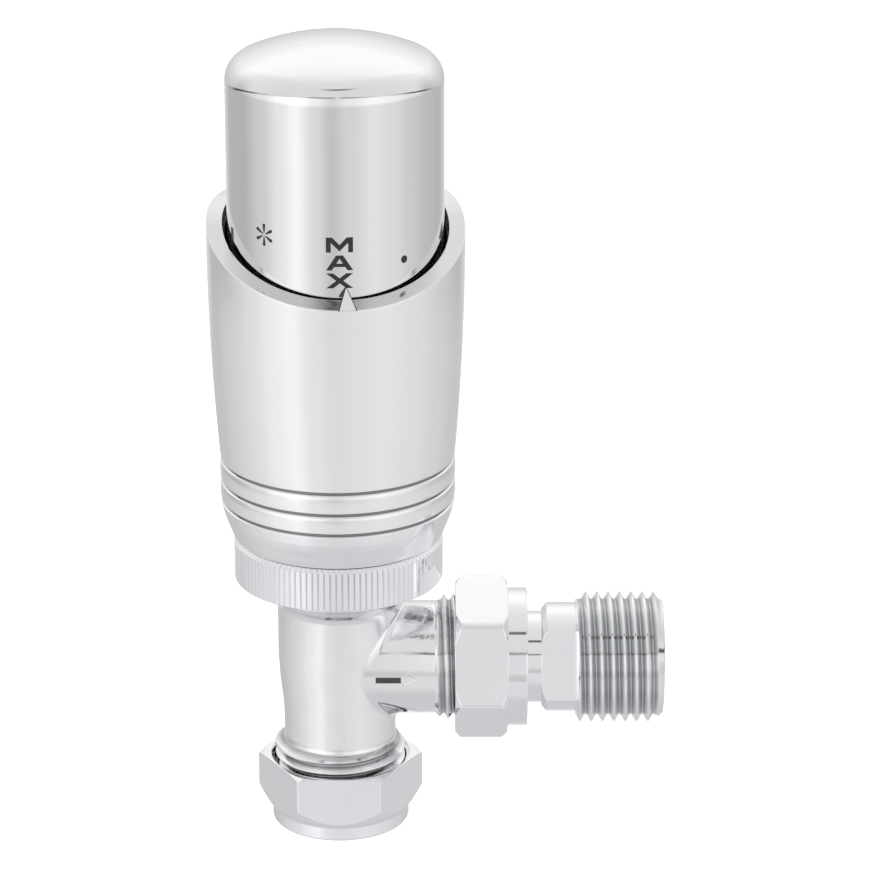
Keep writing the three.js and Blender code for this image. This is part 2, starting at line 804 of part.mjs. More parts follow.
// The shell's outline: straight wall, rounded edge, low dome. An offset gives the inner skin.
function knobOutline( offset ) {

	const k = KNOB;
	const domeCentre = k.top - k.dome;
	const dome = k.dome - offset;
	const edge = k.edgeRadius - offset;
	const edgeCentre = k.radius - k.edgeRadius;
	const edgeCentreZ = domeCentre + Math.sqrt( ( k.dome - k.edgeRadius ) ** 2 - edgeCentre ** 2 );
	const joinAngle = Math.asin( edgeCentre / ( k.dome - k.edgeRadius ) );
	const edgeSteps = 4;
	const edgePoints = Array.from( { length: edgeSteps + 1 }, ( _, step ) => {

		const angle = ( Math.PI / 2 - joinAngle ) * step / edgeSteps;
		return [ edgeCentre + edge * Math.cos( angle ), edgeCentreZ + edge * Math.sin( angle ) ];

	} );
	const domeMiddle = joinAngle / 2;
	return [
		...edgePoints,
		[ dome * Math.sin( domeMiddle ), domeCentre + dome * Math.cos( domeMiddle ) ],
		[ 0, domeCentre + dome ],
	];

}

function knobShell() {

	return turned( [
		...knobOutline( KNOB.wall ).reverse(),
		[ KNOB.radius - KNOB.wall, KNOB.bottom ],
		[ KNOB.radius, KNOB.bottom ],
		...knobOutline( 0 ),
	], FACETS.outer );

}

function knobCore() {

	const c = CORE;
	const groove = RETAINER.inner - GROOVE_GAP;
	const shoulder = c.top - c.topChamfer;
	const shell = ring( [
		[ c.thread, c.bottom ],
		[ c.neck, c.bottom ],
		[ c.neck, RETAINER.bottom - GROOVE_GAP ],
		[ groove, RETAINER.bottom - GROOVE_GAP ],
		[ groove, RETAINER.top + GROOVE_GAP ],
		[ c.neck, RETAINER.top + GROOVE_GAP ],
		[ c.neck, c.flangeBottom ],
		[ c.outer, c.flangeBottom ],
		[ c.outer, shoulder ],
		[ c.outer - c.topChamfer, c.top ],
		[ c.topHole, c.top ],
		[ c.inner, shoulder ],
		[ c.inner, c.flangeTop ],
		[ c.thread, c.flangeTop ],
	] );
	const lugBottom = HOUSING.top + 2 * GAP;
	const lugOuter = c.outer - GROOVE_GAP;
	const stopLug = lug( STOPS.inner, lugOuter, 0, STOPS.coreLug, lugBottom, c.flangeBottom + GAP );
	return join( shell, stopLug );

}

function sensorCarrier() {

	const c = CARRIER;
	const shell = ring( [
		[ c.blockBore, c.bottom ],
		[ c.thread, c.bottom ],
		[ c.thread, c.blockTop ],
		[ c.cage, c.blockTop ],
		[ c.cage, c.top ],
		[ c.bore, c.top ],
		[ c.bore, c.blockTop ],
		[ c.blockBore, c.blockTop ],
	] );
	const windowHeight = c.windowTop - c.windowBottom;
	const windowCentre = ( c.windowTop + c.windowBottom ) / 2;
	const windows = Array.from( { length: c.windows }, ( _, window ) => {

		const opening = block( c.windowWidth, c.windowDepth, windowHeight, 0, c.cage, windowCentre );
		return opening.rotateZ( window / c.windows * 2 * Math.PI );

	} );
	const wider = 2 * GUIDE_POST.clearance;
	const slotTop = GUIDE_POST.top + LIFT + OVERRUN;
	const slotHeight = slotTop - c.bottom + OVERRUN;
	const slots = guideAngles().map( ( angle ) => {

		const depth = GUIDE_POST.depth + wider;
		const slot = block( depth, GUIDE_POST.width + wider, slotHeight, GUIDE_POST.centre, 0, 0 );
		return slot.translate( 0, 0, slotTop - slotHeight / 2 ).rotateZ( angle );

	} );
	return cut( shell, ...windows, ...slots );

}

function sensorCapsule() {

	const { bottom, radius, top, shoulder } = CAPSULE;
	return turned( [
		[ 0, bottom ],
		[ radius - shoulder, bottom ],
		[ radius, bottom + shoulder ],
		[ radius, top - shoulder ],
		[ radius - shoulder, top ],
		[ 0, top ],
	] );

}

function sensorPlunger() {

	const { bottom, stem, head, headBottom, top } = PLUNGER;
	return turned( [
		[ 0, bottom ],
		[ stem, bottom ],
		[ stem, headBottom ],
		[ head, headBottom ],
		[ head, top ],
		[ 0, top ],
	], FACETS.small );

}

function springCap() {

	const { bottom, top, radius } = SPRING_CAP;
	return bar( radius, bottom, top );

}

// ---- The assembly -----------------------------------------------------------------------------

function addPiece( parent, name, geometry, finish ) {

	const mesh = new THREE.Mesh( geometry, new THREE.MeshStandardMaterial( FINISHES[ finish ] ) );
	mesh.name = name;
	parent.add( mesh );

}

function subAssembly( ...pieces ) {

	const assembly = new THREE.Group();
	pieces.forEach( ( [ name, geometry, finish ] ) => addPiece( assembly, name, geometry, finish ) );
	return assembly;

}

const valve = subAssembly(
	[ 'valve_body', valveBody(), 'chrome' ],
	[ 'compression_olive', compressionOlive(), 'brass' ],
	[ 'tailpiece', tailpiece(), 'chrome' ],
	[ 'union_seal', unionSeal(), 'rubber' ],
	[ 'union_snap_ring', unionSnapRing(), 'steel' ],
	[ 'valve_insert', valveInsert(), 'brass' ],
	[ 'insert_o_ring', torus( INSERT_RING, FACETS.inner ), 'rubber' ],
	[ 'gland_nut', glandNut(), 'brass' ],
	[ 'gland_o_ring', torus( GLAND_RING, FACETS.small ), 'rubber' ],
	[ 'return_spring', spring( RETURN_SPRING ), 'steel' ],
);

const nuts = subAssembly(
	[ 'compression_nut', compressionNut(), 'chrome' ],
	[ 'union_nut', unionNut(), 'chrome' ],
	[ 'knurled_ring_nut', knurledRingNut(), 'satinChrome' ],
);

const spindle = subAssembly(
	[ 'spindle_pin', spindlePin(), 'steel' ],
	[ 'spindle_clip', spindleClip(), 'steel' ],
	[ 'disc_holder', discHolder(), 'brass' ],
	[ 'valve_disc', valveDisc(), 'rubber' ],
);

const headShell = subAssembly(
	[ 'head_housing', headHousing(), 'whitePlastic' ],
	[ 'knob_retaining_ring', tube( RETAINER.inner, RETAINER.outer, RETAINER.bottom, RETAINER.top ), 'steel' ],
	[ 'sleeve', sleeve(), 'satinChrome' ],
	[ 'pointer', pointer(), 'chrome' ],
	[ 'black_liner', blackLiner(), 'blackPlastic' ],
);

const knob = subAssembly(
	[ 'knob_shell', knobShell(), 'chrome' ],
	[ 'knob_core', knobCore(), 'whitePlastic' ],
);

const sensor = subAssembly(
	[ 'sensor_carrier', sensorCarrier(), 'whitePlastic' ],
	[ 'sensor_capsule', sensorCapsule(), 'steel' ],
	[ 'sensor_plunger', sensorPlunger(), 'whitePlastic' ],
	[ 'overload_spring', spring( OVERLOAD_SPRING ), 'steel' ],
	[ 'spring_cap', springCap(), 'whitePlastic' ],
);

const group = new THREE.Group();
group.add( valve, nuts, spindle, headShell, knob, sensor );

export default group;
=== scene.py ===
"""Angled thermostatic radiator valve in chrome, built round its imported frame.

The valve stands on the Z axis with its side arm along +X. Shapes are worked out in
millimetres and become metres when their mesh is made. Nearly every piece is a surface on a
grid: rows follow an outline, columns go round the piece's own axis.
"""

import logging
import math
from dataclasses import dataclass, field
from enum import Enum
from typing import Sequence

import bmesh
import bpy
import numpy as np
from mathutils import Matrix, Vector


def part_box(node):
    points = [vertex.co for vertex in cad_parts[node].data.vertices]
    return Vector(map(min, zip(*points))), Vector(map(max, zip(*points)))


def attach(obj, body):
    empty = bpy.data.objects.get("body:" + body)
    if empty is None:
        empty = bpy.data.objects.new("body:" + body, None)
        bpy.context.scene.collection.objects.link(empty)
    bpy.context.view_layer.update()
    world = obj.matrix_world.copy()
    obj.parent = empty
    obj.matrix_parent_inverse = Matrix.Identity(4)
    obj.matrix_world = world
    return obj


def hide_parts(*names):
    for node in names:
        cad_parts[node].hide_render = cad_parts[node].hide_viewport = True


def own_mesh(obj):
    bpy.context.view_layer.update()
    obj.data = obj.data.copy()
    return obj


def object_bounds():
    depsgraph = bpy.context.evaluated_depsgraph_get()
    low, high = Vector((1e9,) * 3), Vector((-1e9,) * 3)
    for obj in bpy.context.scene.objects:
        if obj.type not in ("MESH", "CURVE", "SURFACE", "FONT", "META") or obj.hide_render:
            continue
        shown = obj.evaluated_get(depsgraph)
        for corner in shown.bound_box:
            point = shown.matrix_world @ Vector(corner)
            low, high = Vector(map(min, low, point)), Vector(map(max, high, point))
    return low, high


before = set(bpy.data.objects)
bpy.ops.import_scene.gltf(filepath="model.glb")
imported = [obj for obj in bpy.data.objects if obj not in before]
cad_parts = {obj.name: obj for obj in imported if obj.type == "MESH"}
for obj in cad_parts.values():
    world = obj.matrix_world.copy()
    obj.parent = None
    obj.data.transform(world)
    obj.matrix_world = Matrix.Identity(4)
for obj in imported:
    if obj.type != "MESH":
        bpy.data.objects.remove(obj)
CAD_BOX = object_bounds()

MM = 0.001
LOG = logging.getLogger("valve")

Array = np.ndarray
Number = float | Array


# ---- Frame ------------------------------------------------------------------------------------


@dataclass(frozen=True)
class Extent:
    """The box of one node of the frame, in millimetres."""

    low: Vector
    high: Vector

    @classmethod
    def of(cls, node: str) -> "Extent":
        """Reads a node's box.

        Args:
            node: The node's name in the frame.

        Returns:
            Its lowest and highest corners.
        """
        low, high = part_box(node)
        return cls(low / MM, high / MM)

    @property
    def bottom(self) -> float:
        """The lowest height."""
        return self.low.z

    @property
    def top(self) -> float:
        """The highest height."""
        return self.high.z

    @property
    def middle(self) -> float:
        """The height of the box's centre."""
        return (self.low.z + self.high.z) / 2

    @property
    def radius(self) -> float:
        """Half of the width along X, for a piece round the Z axis."""
        return (self.high.x - self.low.x) / 2


ARM_HEIGHT = Extent.of("tailpiece").middle


class Axis(Enum):
    """The axis that a turned piece is built round."""

    UPRIGHT = "the head and the pipe, along +Z"
    ARM = "the side arm, along +X"

    def place(self, points: Array) -> Array:
        """Moves points made round +Z onto this axis.

        Args:
            points: Coordinates in millimetres, in the last dimension.

        Returns:
            The points themselves for the upright axis. For the arm, +Z turns to +X and -X to +Z.
        """
        if self is Axis.UPRIGHT:
            return points
        x, y, z = points[..., 0], points[..., 1], points[..., 2]
        return np.stack([z, y, ARM_HEIGHT - x], axis=-1)


# ---- Outlines and surfaces --------------------------------------------------------------------


@dataclass(frozen=True)
class Corner:
    """One corner of an outline.

    Radius and height may be arrays with one value for each column of the surface. Soft is how
    far the edge is rounded over, and 0 leaves it as a plain point of the outline.
    """

    radius: Number
    height: Number
    soft: float = 0.0


def angles(count: int) -> Array:
    """Even steps round a full turn from +X, with the first direction again at the end."""
    return np.linspace(0, 2 * math.pi, count + 1)


def hexagon_angles(turn: float, between: int = 8) -> Array:
    """Columns round a hexagon, close together at its corners.

    Args:
        turn: The first corner's angle in degrees.
        between: The number of columns along each flat.

    Returns:
        Angles in radians, in rising order, with the first direction again at the end.
    """
    near = np.array([0.0, 0.5, 1.2, 2.5])
    flat = np.linspace(5, 55, between)
    side = np.concatenate([near, flat, 60 - near[:0:-1]])
    return np.radians(turn + np.append(side[None, :] + 60 * np.arange(6)[:, None], 360))


def hexagon_radius(across_flats: float, turn: float, columns: Array, blunt: float = 0.2) -> Array:
    """Distance from the axis to a hexagon with slightly blunt corners.

    The distance is half the width over the cosine of the angle from the nearest flat's middle,
    and never more than the corner's distance less the blunting.

    Args:
        across_flats: The hexagon's width.
        turn: The first corner's angle in degrees.
        columns: Angles in radians.
        blunt: How much is taken off each corner.

    Returns:
        One distance for each column.
    """
    from_corner = np.mod(columns - math.radians(turn), math.radians(60))
    from_middle = from_corner - math.radians(30)
    reach = across_flats / 2 / np.cos(from_middle)
    return np.minimum(reach, across_flats / math.sqrt(3) - blunt)


def rounded(corners: Sequence[Corner], closed: bool, columns: int, steps: int = 4) -> Array:
    """Turns corners into the rows of a surface.

    A soft corner becomes a parabola that leaves one side and meets the next at the soft
    distance, with one more point on each side that keeps the flat next to it flat.

    Args:
        corners: The outline's corners in order.
        closed: Whether the last corner is joined to the first.
        columns: How many columns the surface has.
        steps: The number of segments in a rounded edge.

    Returns:
        Radii and heights, as (rows, 2, columns).
    """
    points = np.stack([
        np.stack([np.broadcast_to(c.radius, columns), np.broadcast_to(c.height, columns)])
        for c in corners
    ]).astype(float)
    along = np.linspace(0, 1, steps + 1)[:, None, None]
    rows = []
    for index, corner in enumerate(corners):
        here = points[index]
        if corner.soft <= 0 or (not closed and index in (0, len(corners) - 1)):
            rows.append(here[None])
            continue
        before = points[index - 1] - here
        after = points[(index + 1) % len(corners)] - here
        reach_before = np.maximum(np.hypot(*before), 1e-6)
        reach_after = np.maximum(np.hypot(*after), 1e-6)
        soft = np.minimum(corner.soft, 0.42 * np.minimum(reach_before, reach_after))
        leave = here + before / reach_before * soft
        meet = here + after / reach_after * soft
        arc = (1 - along) ** 2 * leave + 2 * along * (1 - along) * here + along**2 * meet
        hold = 1.15 * soft
        rows.append((here + before / reach_before * hold)[None])
        rows.append(arc)
        rows.append((here + after / reach_after * hold)[None])
    return np.concatenate(rows)


def swept(rows: Array, columns: Array, axis: Axis = Axis.UPRIGHT) -> Array:
    """Carries an outline round an axis.

    Args:
        rows: Radii and heights, as (rows, 2, columns).
        columns: Angles in radians.
        axis: The axis to go round.

    Returns:
        A grid of points, (rows, columns, 3): radius times cosine, radius times sine, height.
    """
    radius, height = rows[:, 0], rows[:, 1]
    grid = np.stack([radius * np.cos(columns), radius * np.sin(columns), height], axis=-1)
    return axis.place(grid)


def smooth(mesh: bpy.types.Mesh, sharpest: float = 40.0) -> None:
    """Shades a mesh smooth apart from edges that turn by more than an angle in degrees."""
    mesh.polygons.foreach_set("use_smooth", np.ones(len(mesh.polygons), bool))
    mesh.set_sharp_from_angle(angle=math.radians(sharpest))


def linked(name: str, data: bpy.types.ID) -> bpy.types.Object:
    """Adds an object for a mesh, a curve, a camera or a lamp to the scene.

    Args:
        name: The object's name.
        data: What it shows.

    Returns:
        The object.
    """
    made = bpy.data.objects.new(name, data)
    bpy.context.scene.collection.objects.link(made)
    return made


def new_object(name: str, points: Array, faces: Sequence[Sequence[int]]) -> bpy.types.Object:
    """Makes an object from points in millimetres, with points at the same place joined.

    Args:
        name: The object's name.
        points: The vertices, (count, 3).
        faces: The vertex numbers of each face, anticlockwise from outside.

    Returns:
        The object, linked to the scene.
    """
    mesh = bpy.data.meshes.new(name)
    mesh.from_pydata((points * MM).tolist(), [], faces)
    work = bmesh.new()
    work.from_mesh(mesh)
    bmesh.ops.remove_doubles(work, verts=work.verts, dist=0.0004 * MM)
    work.to_mesh(mesh)
    work.free()
    smooth(mesh)
    return linked(name, mesh)


def grid_object(name: str, grid: Array, closed: bool) -> bpy.types.Object:
    """Makes a closed mesh from a grid whose last column lies on its first one.

    Args:
        name: The object's name.
        grid: Points in millimetres, (rows, columns, 3).
        closed: Whether the last row is joined to the first. If it isn't, the first and last
            rows each lie in one point.

    Returns:
        The object.
    """
    rows, columns, _ = grid.shape
    number = np.arange(rows * columns).reshape(rows, columns)
    low, high = (number, np.roll(number, -1, axis=0)) if closed else (number[:-1], number[1:])
    quads = np.stack([low[:, :-1], low[:, 1:], high[:, 1:], high[:, :-1]], axis=-1)
    return new_object(name, grid.reshape(-1, 3), quads.reshape(-1, 4).tolist())


def turned(
    name: str,
    corners: Sequence[Corner],
    closed: bool,
    columns: Array | int = 96,
    axis: Axis = Axis.UPRIGHT,
) -> bpy.types.Object:
    """Makes a turned piece from its outline.

    Args:
        name: The object's name.
        corners: The outline, anticlockwise with the axis on its left side.
        closed: True for a ring, False for a piece whose outline starts and ends on the axis.
        columns: The columns' angles, or how many even ones.
        axis: The axis that the piece goes round.

    Returns:
        The object.
    """
    turn = angles(columns) if isinstance(columns, int) else columns
    rows = rounded(corners, closed, len(turn))
    return grid_object(name, swept(rows, turn, axis), closed)


def outline(*corners: tuple[Number, ...]) -> list[Corner]:
    """Corners from their radii, heights and, where the edge is rounded, the soft distances."""
    return [Corner(*corner) for corner in corners]


def ring_corners(inner: float, outer: float, bottom: float, top: float, soft: float) -> list[Corner]:
    """The outline of a plain ring with soft edges."""
    return outline(
        (inner, bottom, soft), (outer, bottom, soft), (outer, top, soft), (inner, top, soft),
    )


def bar_corners(radius: float, bottom: float, top: float, soft: float) -> list[Corner]:
    """The outline of a plain bar with soft edges."""
    return [Corner(0, bottom), Corner(radius, bottom, soft), Corner(radius, top, soft), Corner(0, top)]


@dataclass(frozen=True)
class Thread:
    """A right-handed male screw thread.

    Flank is the share of the pitch that each sloping side takes, and crest_share the flat top's.
    """

    crest: float
    root: float
    pitch: float
    flank: float = 0.36
    crest_share: float = 0.14

    def rows(self, start: float, end: float, columns: Array, runout: tuple[float, float]) -> list[Corner]:
        """The rows of a threaded stretch.

        Each row follows the screw line: it rises by one pitch in a turn, and its last point is
        the first point of the row one pitch further on. Heights outside the stretch are drawn
        in to its ends, and the radius stays under a cone at each end.

        Args:
            start: Where the thread begins, along the axis.
            end: Where it ends.
            columns: Angles in radians, from 0 to a full turn.
            runout: The length of the cone at the start and at the end.

        Returns:
            Corners with one radius and height for each column.
        """
        low = self.root - 0.15
        top = (1 - self.crest_share) / 2
        profile = [(top - self.flank, self.root), (top, self.crest), (1 - top, self.crest),
                   (1 - top + self.flank, self.root)]
        made = [Corner(low, start)]
        for lap in range(math.ceil((end - start) / self.pitch) + 1):
            for place, radius in profile:
                height = start + (lap - 1 + place + columns / (2 * math.pi)) * self.pitch
                height = np.clip(height, start, end)
                inset = np.minimum((height - start) / runout[0], (end - height) / runout[1])
                cone = low + (self.crest - low) * np.clip(inset, 0, 1)
                made.append(Corner(np.minimum(radius, cone), height, 0.07))
        return [*made, Corner(low, end)]


PIPE_THREAD = Thread(crest=10.45, root=9.3, pitch=1.814)
ARM_THREAD = Thread(crest=10.02, root=9.15, pitch=1.5)
HEAD_THREAD = Thread(crest=14.85, root=14.0, pitch=1.5)


def spring_object(
    name: str, radius: float, wire: float, bottom: float, top: float, turns: int
) -> bpy.types.Object:
    """A coil spring with closed ends.

    The wire's centre goes round at a fixed radius while its height rises slowly over the first
    and last turn and evenly between them, and a round section is carried along it.

    Args:
        name: The object's name.
        radius: The coil's radius at the wire's centre.
        wire: The wire's radius.
        bottom: The lowest point.
        top: The highest point.
        turns: The number of turns, the closed end turns included.

    Returns:
        The object.
    """
    steps, sides = 28 * turns, 12
    turn = np.linspace(0, turns, steps + 1)
    climb = np.interp(turn, [0, 0.8, turns - 0.8, turns], [0, 0.12, 0.88, 1])
    height = bottom + wire + (top - bottom - 2 * wire) * climb
    around = 2 * math.pi * turn
    centre = np.stack([radius * np.cos(around), radius * np.sin(around), height], axis=-1)
    outward = np.stack([np.cos(around), np.sin(around), np.zeros_like(around)], axis=-1)
    up = np.broadcast_to([0.0, 0.0, 1.0], outward.shape)
    section = angles(sides)
    grid = (
        centre[:, None]
        + wire * np.cos(section)[None, :, None] * outward[:, None]
        + wire * np.sin(section)[None, :, None] * up[:, None]
    )
    ends = [np.repeat(centre[i][None, None], sides + 1, axis=1) for i in (0, -1)]
    return grid_object(name, np.concatenate([ends[0], grid, ends[1]])[::-1], closed=False)


class Operation(Enum):
    """How a second solid changes a first one."""

    ADD = "UNION"
    CUT = "DIFFERENCE"


def combine(base: bpy.types.Object, tool: bpy.types.Object, operation: Operation) -> None:
    """Joins a solid to another or cuts it away, and removes the tool.

    Args:
        base: The object that is changed.
        tool: The object that is added or cut away.
        operation: Which of the two.
    """
    step = base.modifiers.new("step", "BOOLEAN")
    step.operation = operation.value
    step.object = tool
    step.solver = "MANIFOLD"
    evaluated = base.evaluated_get(bpy.context.evaluated_depsgraph_get())
    mesh = bpy.data.meshes.new_from_object(evaluated)
    base.modifiers.clear()
    base.data = mesh
    bpy.data.objects.remove(tool)
    smooth(mesh)


def mark_painted_shade(piece: bpy.types.Object, depth: Array) -> None:
    """Marks each point of a piece from 0 to 1 with painted shade, and its finish darkens with the mark.

    Args:
        piece: The object.
        depth: One value for each vertex. A larger mark that is already there stays.
    """
    layer = piece.data.attributes.get("painted_shade") or piece.data.attributes.new("painted_shade", "FLOAT", "POINT")
    before = np.zeros(len(depth))
    layer.data.foreach_get("value", before)
    layer.data.foreach_set("value", np.maximum(before, depth))


def painted_shade(
    piece: bpy.types.Object, axis: Axis, radii: tuple[float, float], stretch: tuple[float, float]
) -> None:
    """Marks how deep each point of a piece lies in its grooves, for painted shade at their bottoms.

    The mark rises from 0 at the outer radius to 1 at the inner one, and fades out over the last
    quarter of a millimetre at both ends of the stretch.

    Args:
        piece: The object, already in its place.
        axis: The axis that the grooves go round.
        radii: The radius at the bottom of the grooves and outside them.
        stretch: Where the grooves begin and end, along the axis.
    """
    points = read_points(piece.data) / MM
    across, along = points[:, 0], points[:, 2]
    if axis is Axis.ARM:
        across, along = ARM_HEIGHT - points[:, 2], points[:, 0]
    inner, outer = radii
    depth = np.clip((outer - np.hypot(across, points[:, 1])) / (outer - inner), 0, 1)
    inside = np.minimum(along - stretch[0], stretch[1] - along) / 0.25
    mark_painted_shade(piece, depth * np.clip(inside, 0, 1))


# ---- Flat shapes wrapped on a cylinder ---------------------------------------------------------


def flat_shape(name: str, outlines: Sequence[Array]) -> bpy.types.Mesh:
    """Fills closed outlines in a plane, and gives them a thickness of 1 from 0 to 1.

    Args:
        name: The mesh's name.
        outlines: Points (count, 2) of each outline.

    Returns:
        A mesh whose x and y are the outlines' and whose z is 0 or 1.
    """
    curve = bpy.data.curves.new(name, "CURVE")
    curve.dimensions = "2D"
    curve.fill_mode = "BOTH"
    curve.extrude = 0.5
    for outline in outlines:
        spline = curve.splines.new("POLY")
        spline.points.add(len(outline) - 1)
        flat = np.column_stack([outline, np.zeros(len(outline)), np.ones(len(outline))])
        spline.points.foreach_set("co", flat.ravel())
        spline.use_cyclic_u = True
    return curve_mesh(name, curve)


def letter_shape(letter: str, width: float, height: float, weight: float) -> bpy.types.Mesh:
    """One plain upright character, centred and scaled to a size.

    Args:
        letter: The character.
        width: Its full width in millimetres.
        height: Its full height.
        weight: How much its strokes are thickened.

    Returns:
        A mesh as flat_shape makes it.
    """
    text = bpy.data.curves.new("character", "FONT")
    text.body = letter
    text.offset = weight
    text.extrude = 0.5
    text.resolution_u = 6
    mesh = curve_mesh("character", text)
    points = read_points(mesh)
    low, high = points.min(0), points.max(0)
    size = np.array([width, height]) / (high - low)[:2]
    points[:, :2] = (points[:, :2] - (low + high)[:2] / 2) * size
    write_points(mesh, points)
    return mesh


def curve_mesh(name: str, curve: bpy.types.Curve) -> bpy.types.Mesh:
    """Turns a flat filled curve into a mesh, and removes the curve.

    Args:
        name: The name of both.
        curve: A curve or a text that is extruded to both sides of its plane.

    Returns:
        A mesh whose z is 0 below and 1 above.
    """
    holder = linked(name, curve)
    evaluated = holder.evaluated_get(bpy.context.evaluated_depsgraph_get())
    mesh = bpy.data.meshes.new_from_object(evaluated)
    bpy.data.objects.remove(holder)
    bpy.data.curves.remove(curve)
    points = read_points(mesh)
    points[:, 2] = (points[:, 2] > 0).astype(float)
    write_points(mesh, points)
    return mesh


def read_points(mesh: bpy.types.Mesh) -> Array:
    """A mesh's vertices as (count, 3)."""
    flat = np.empty(len(mesh.vertices) * 3)
    mesh.vertices.foreach_get("co", flat)
    return flat.reshape(-1, 3)


def write_points(mesh: bpy.types.Mesh, points: Array) -> None:
    """Moves a mesh's vertices to the given places."""
    mesh.vertices.foreach_set("co", points.ravel())
    mesh.update()


@dataclass(frozen=True)
class Wrap:
    """A place on a cylinder where a flat shape is laid.

    A point's x goes round the cylinder and its y along it. Its z of 0 is the inner radius and
    1 the outer one.
    """

    axis: Axis
    inner: float
    outer: float
    angle: float
    along: float
    slice_width: float = 0.4

    def lay(self, name: str, mesh: bpy.types.Mesh) -> bpy.types.Object:
        """Cuts a flat shape into narrow strips and bends it round the cylinder.

        Args:
            name: The object's name.
            mesh: A mesh as flat_shape makes it.

        Returns:
            The object.
        """
        work = bmesh.new()
        work.from_mesh(mesh)
        bmesh.ops.remove_doubles(work, verts=work.verts, dist=1e-4)
        width = [v.co.x for v in work.verts]
        for x in np.arange(min(width) + self.slice_width, max(width), self.slice_width):
            whole = work.verts[:] + work.edges[:] + work.faces[:]
            bmesh.ops.bisect_plane(work, geom=whole, plane_co=(x, 0, 0), plane_no=(1, 0, 0))
        bmesh.ops.recalc_face_normals(work, faces=work.faces)
        work.to_mesh(mesh)
        work.free()
        points = read_points(mesh)
        radius = self.inner + (self.outer - self.inner) * points[:, 2]
        around = math.radians(self.angle) + points[:, 0] / self.outer
        bent = np.column_stack([
            radius * np.cos(around),
            radius * np.sin(around),
            self.along + points[:, 1],
        ])
        write_points(mesh, self.axis.place(bent) * MM)
        smooth(mesh, 30)
        return linked(name, mesh)


# ---- Finishes ---------------------------------------------------------------------------------


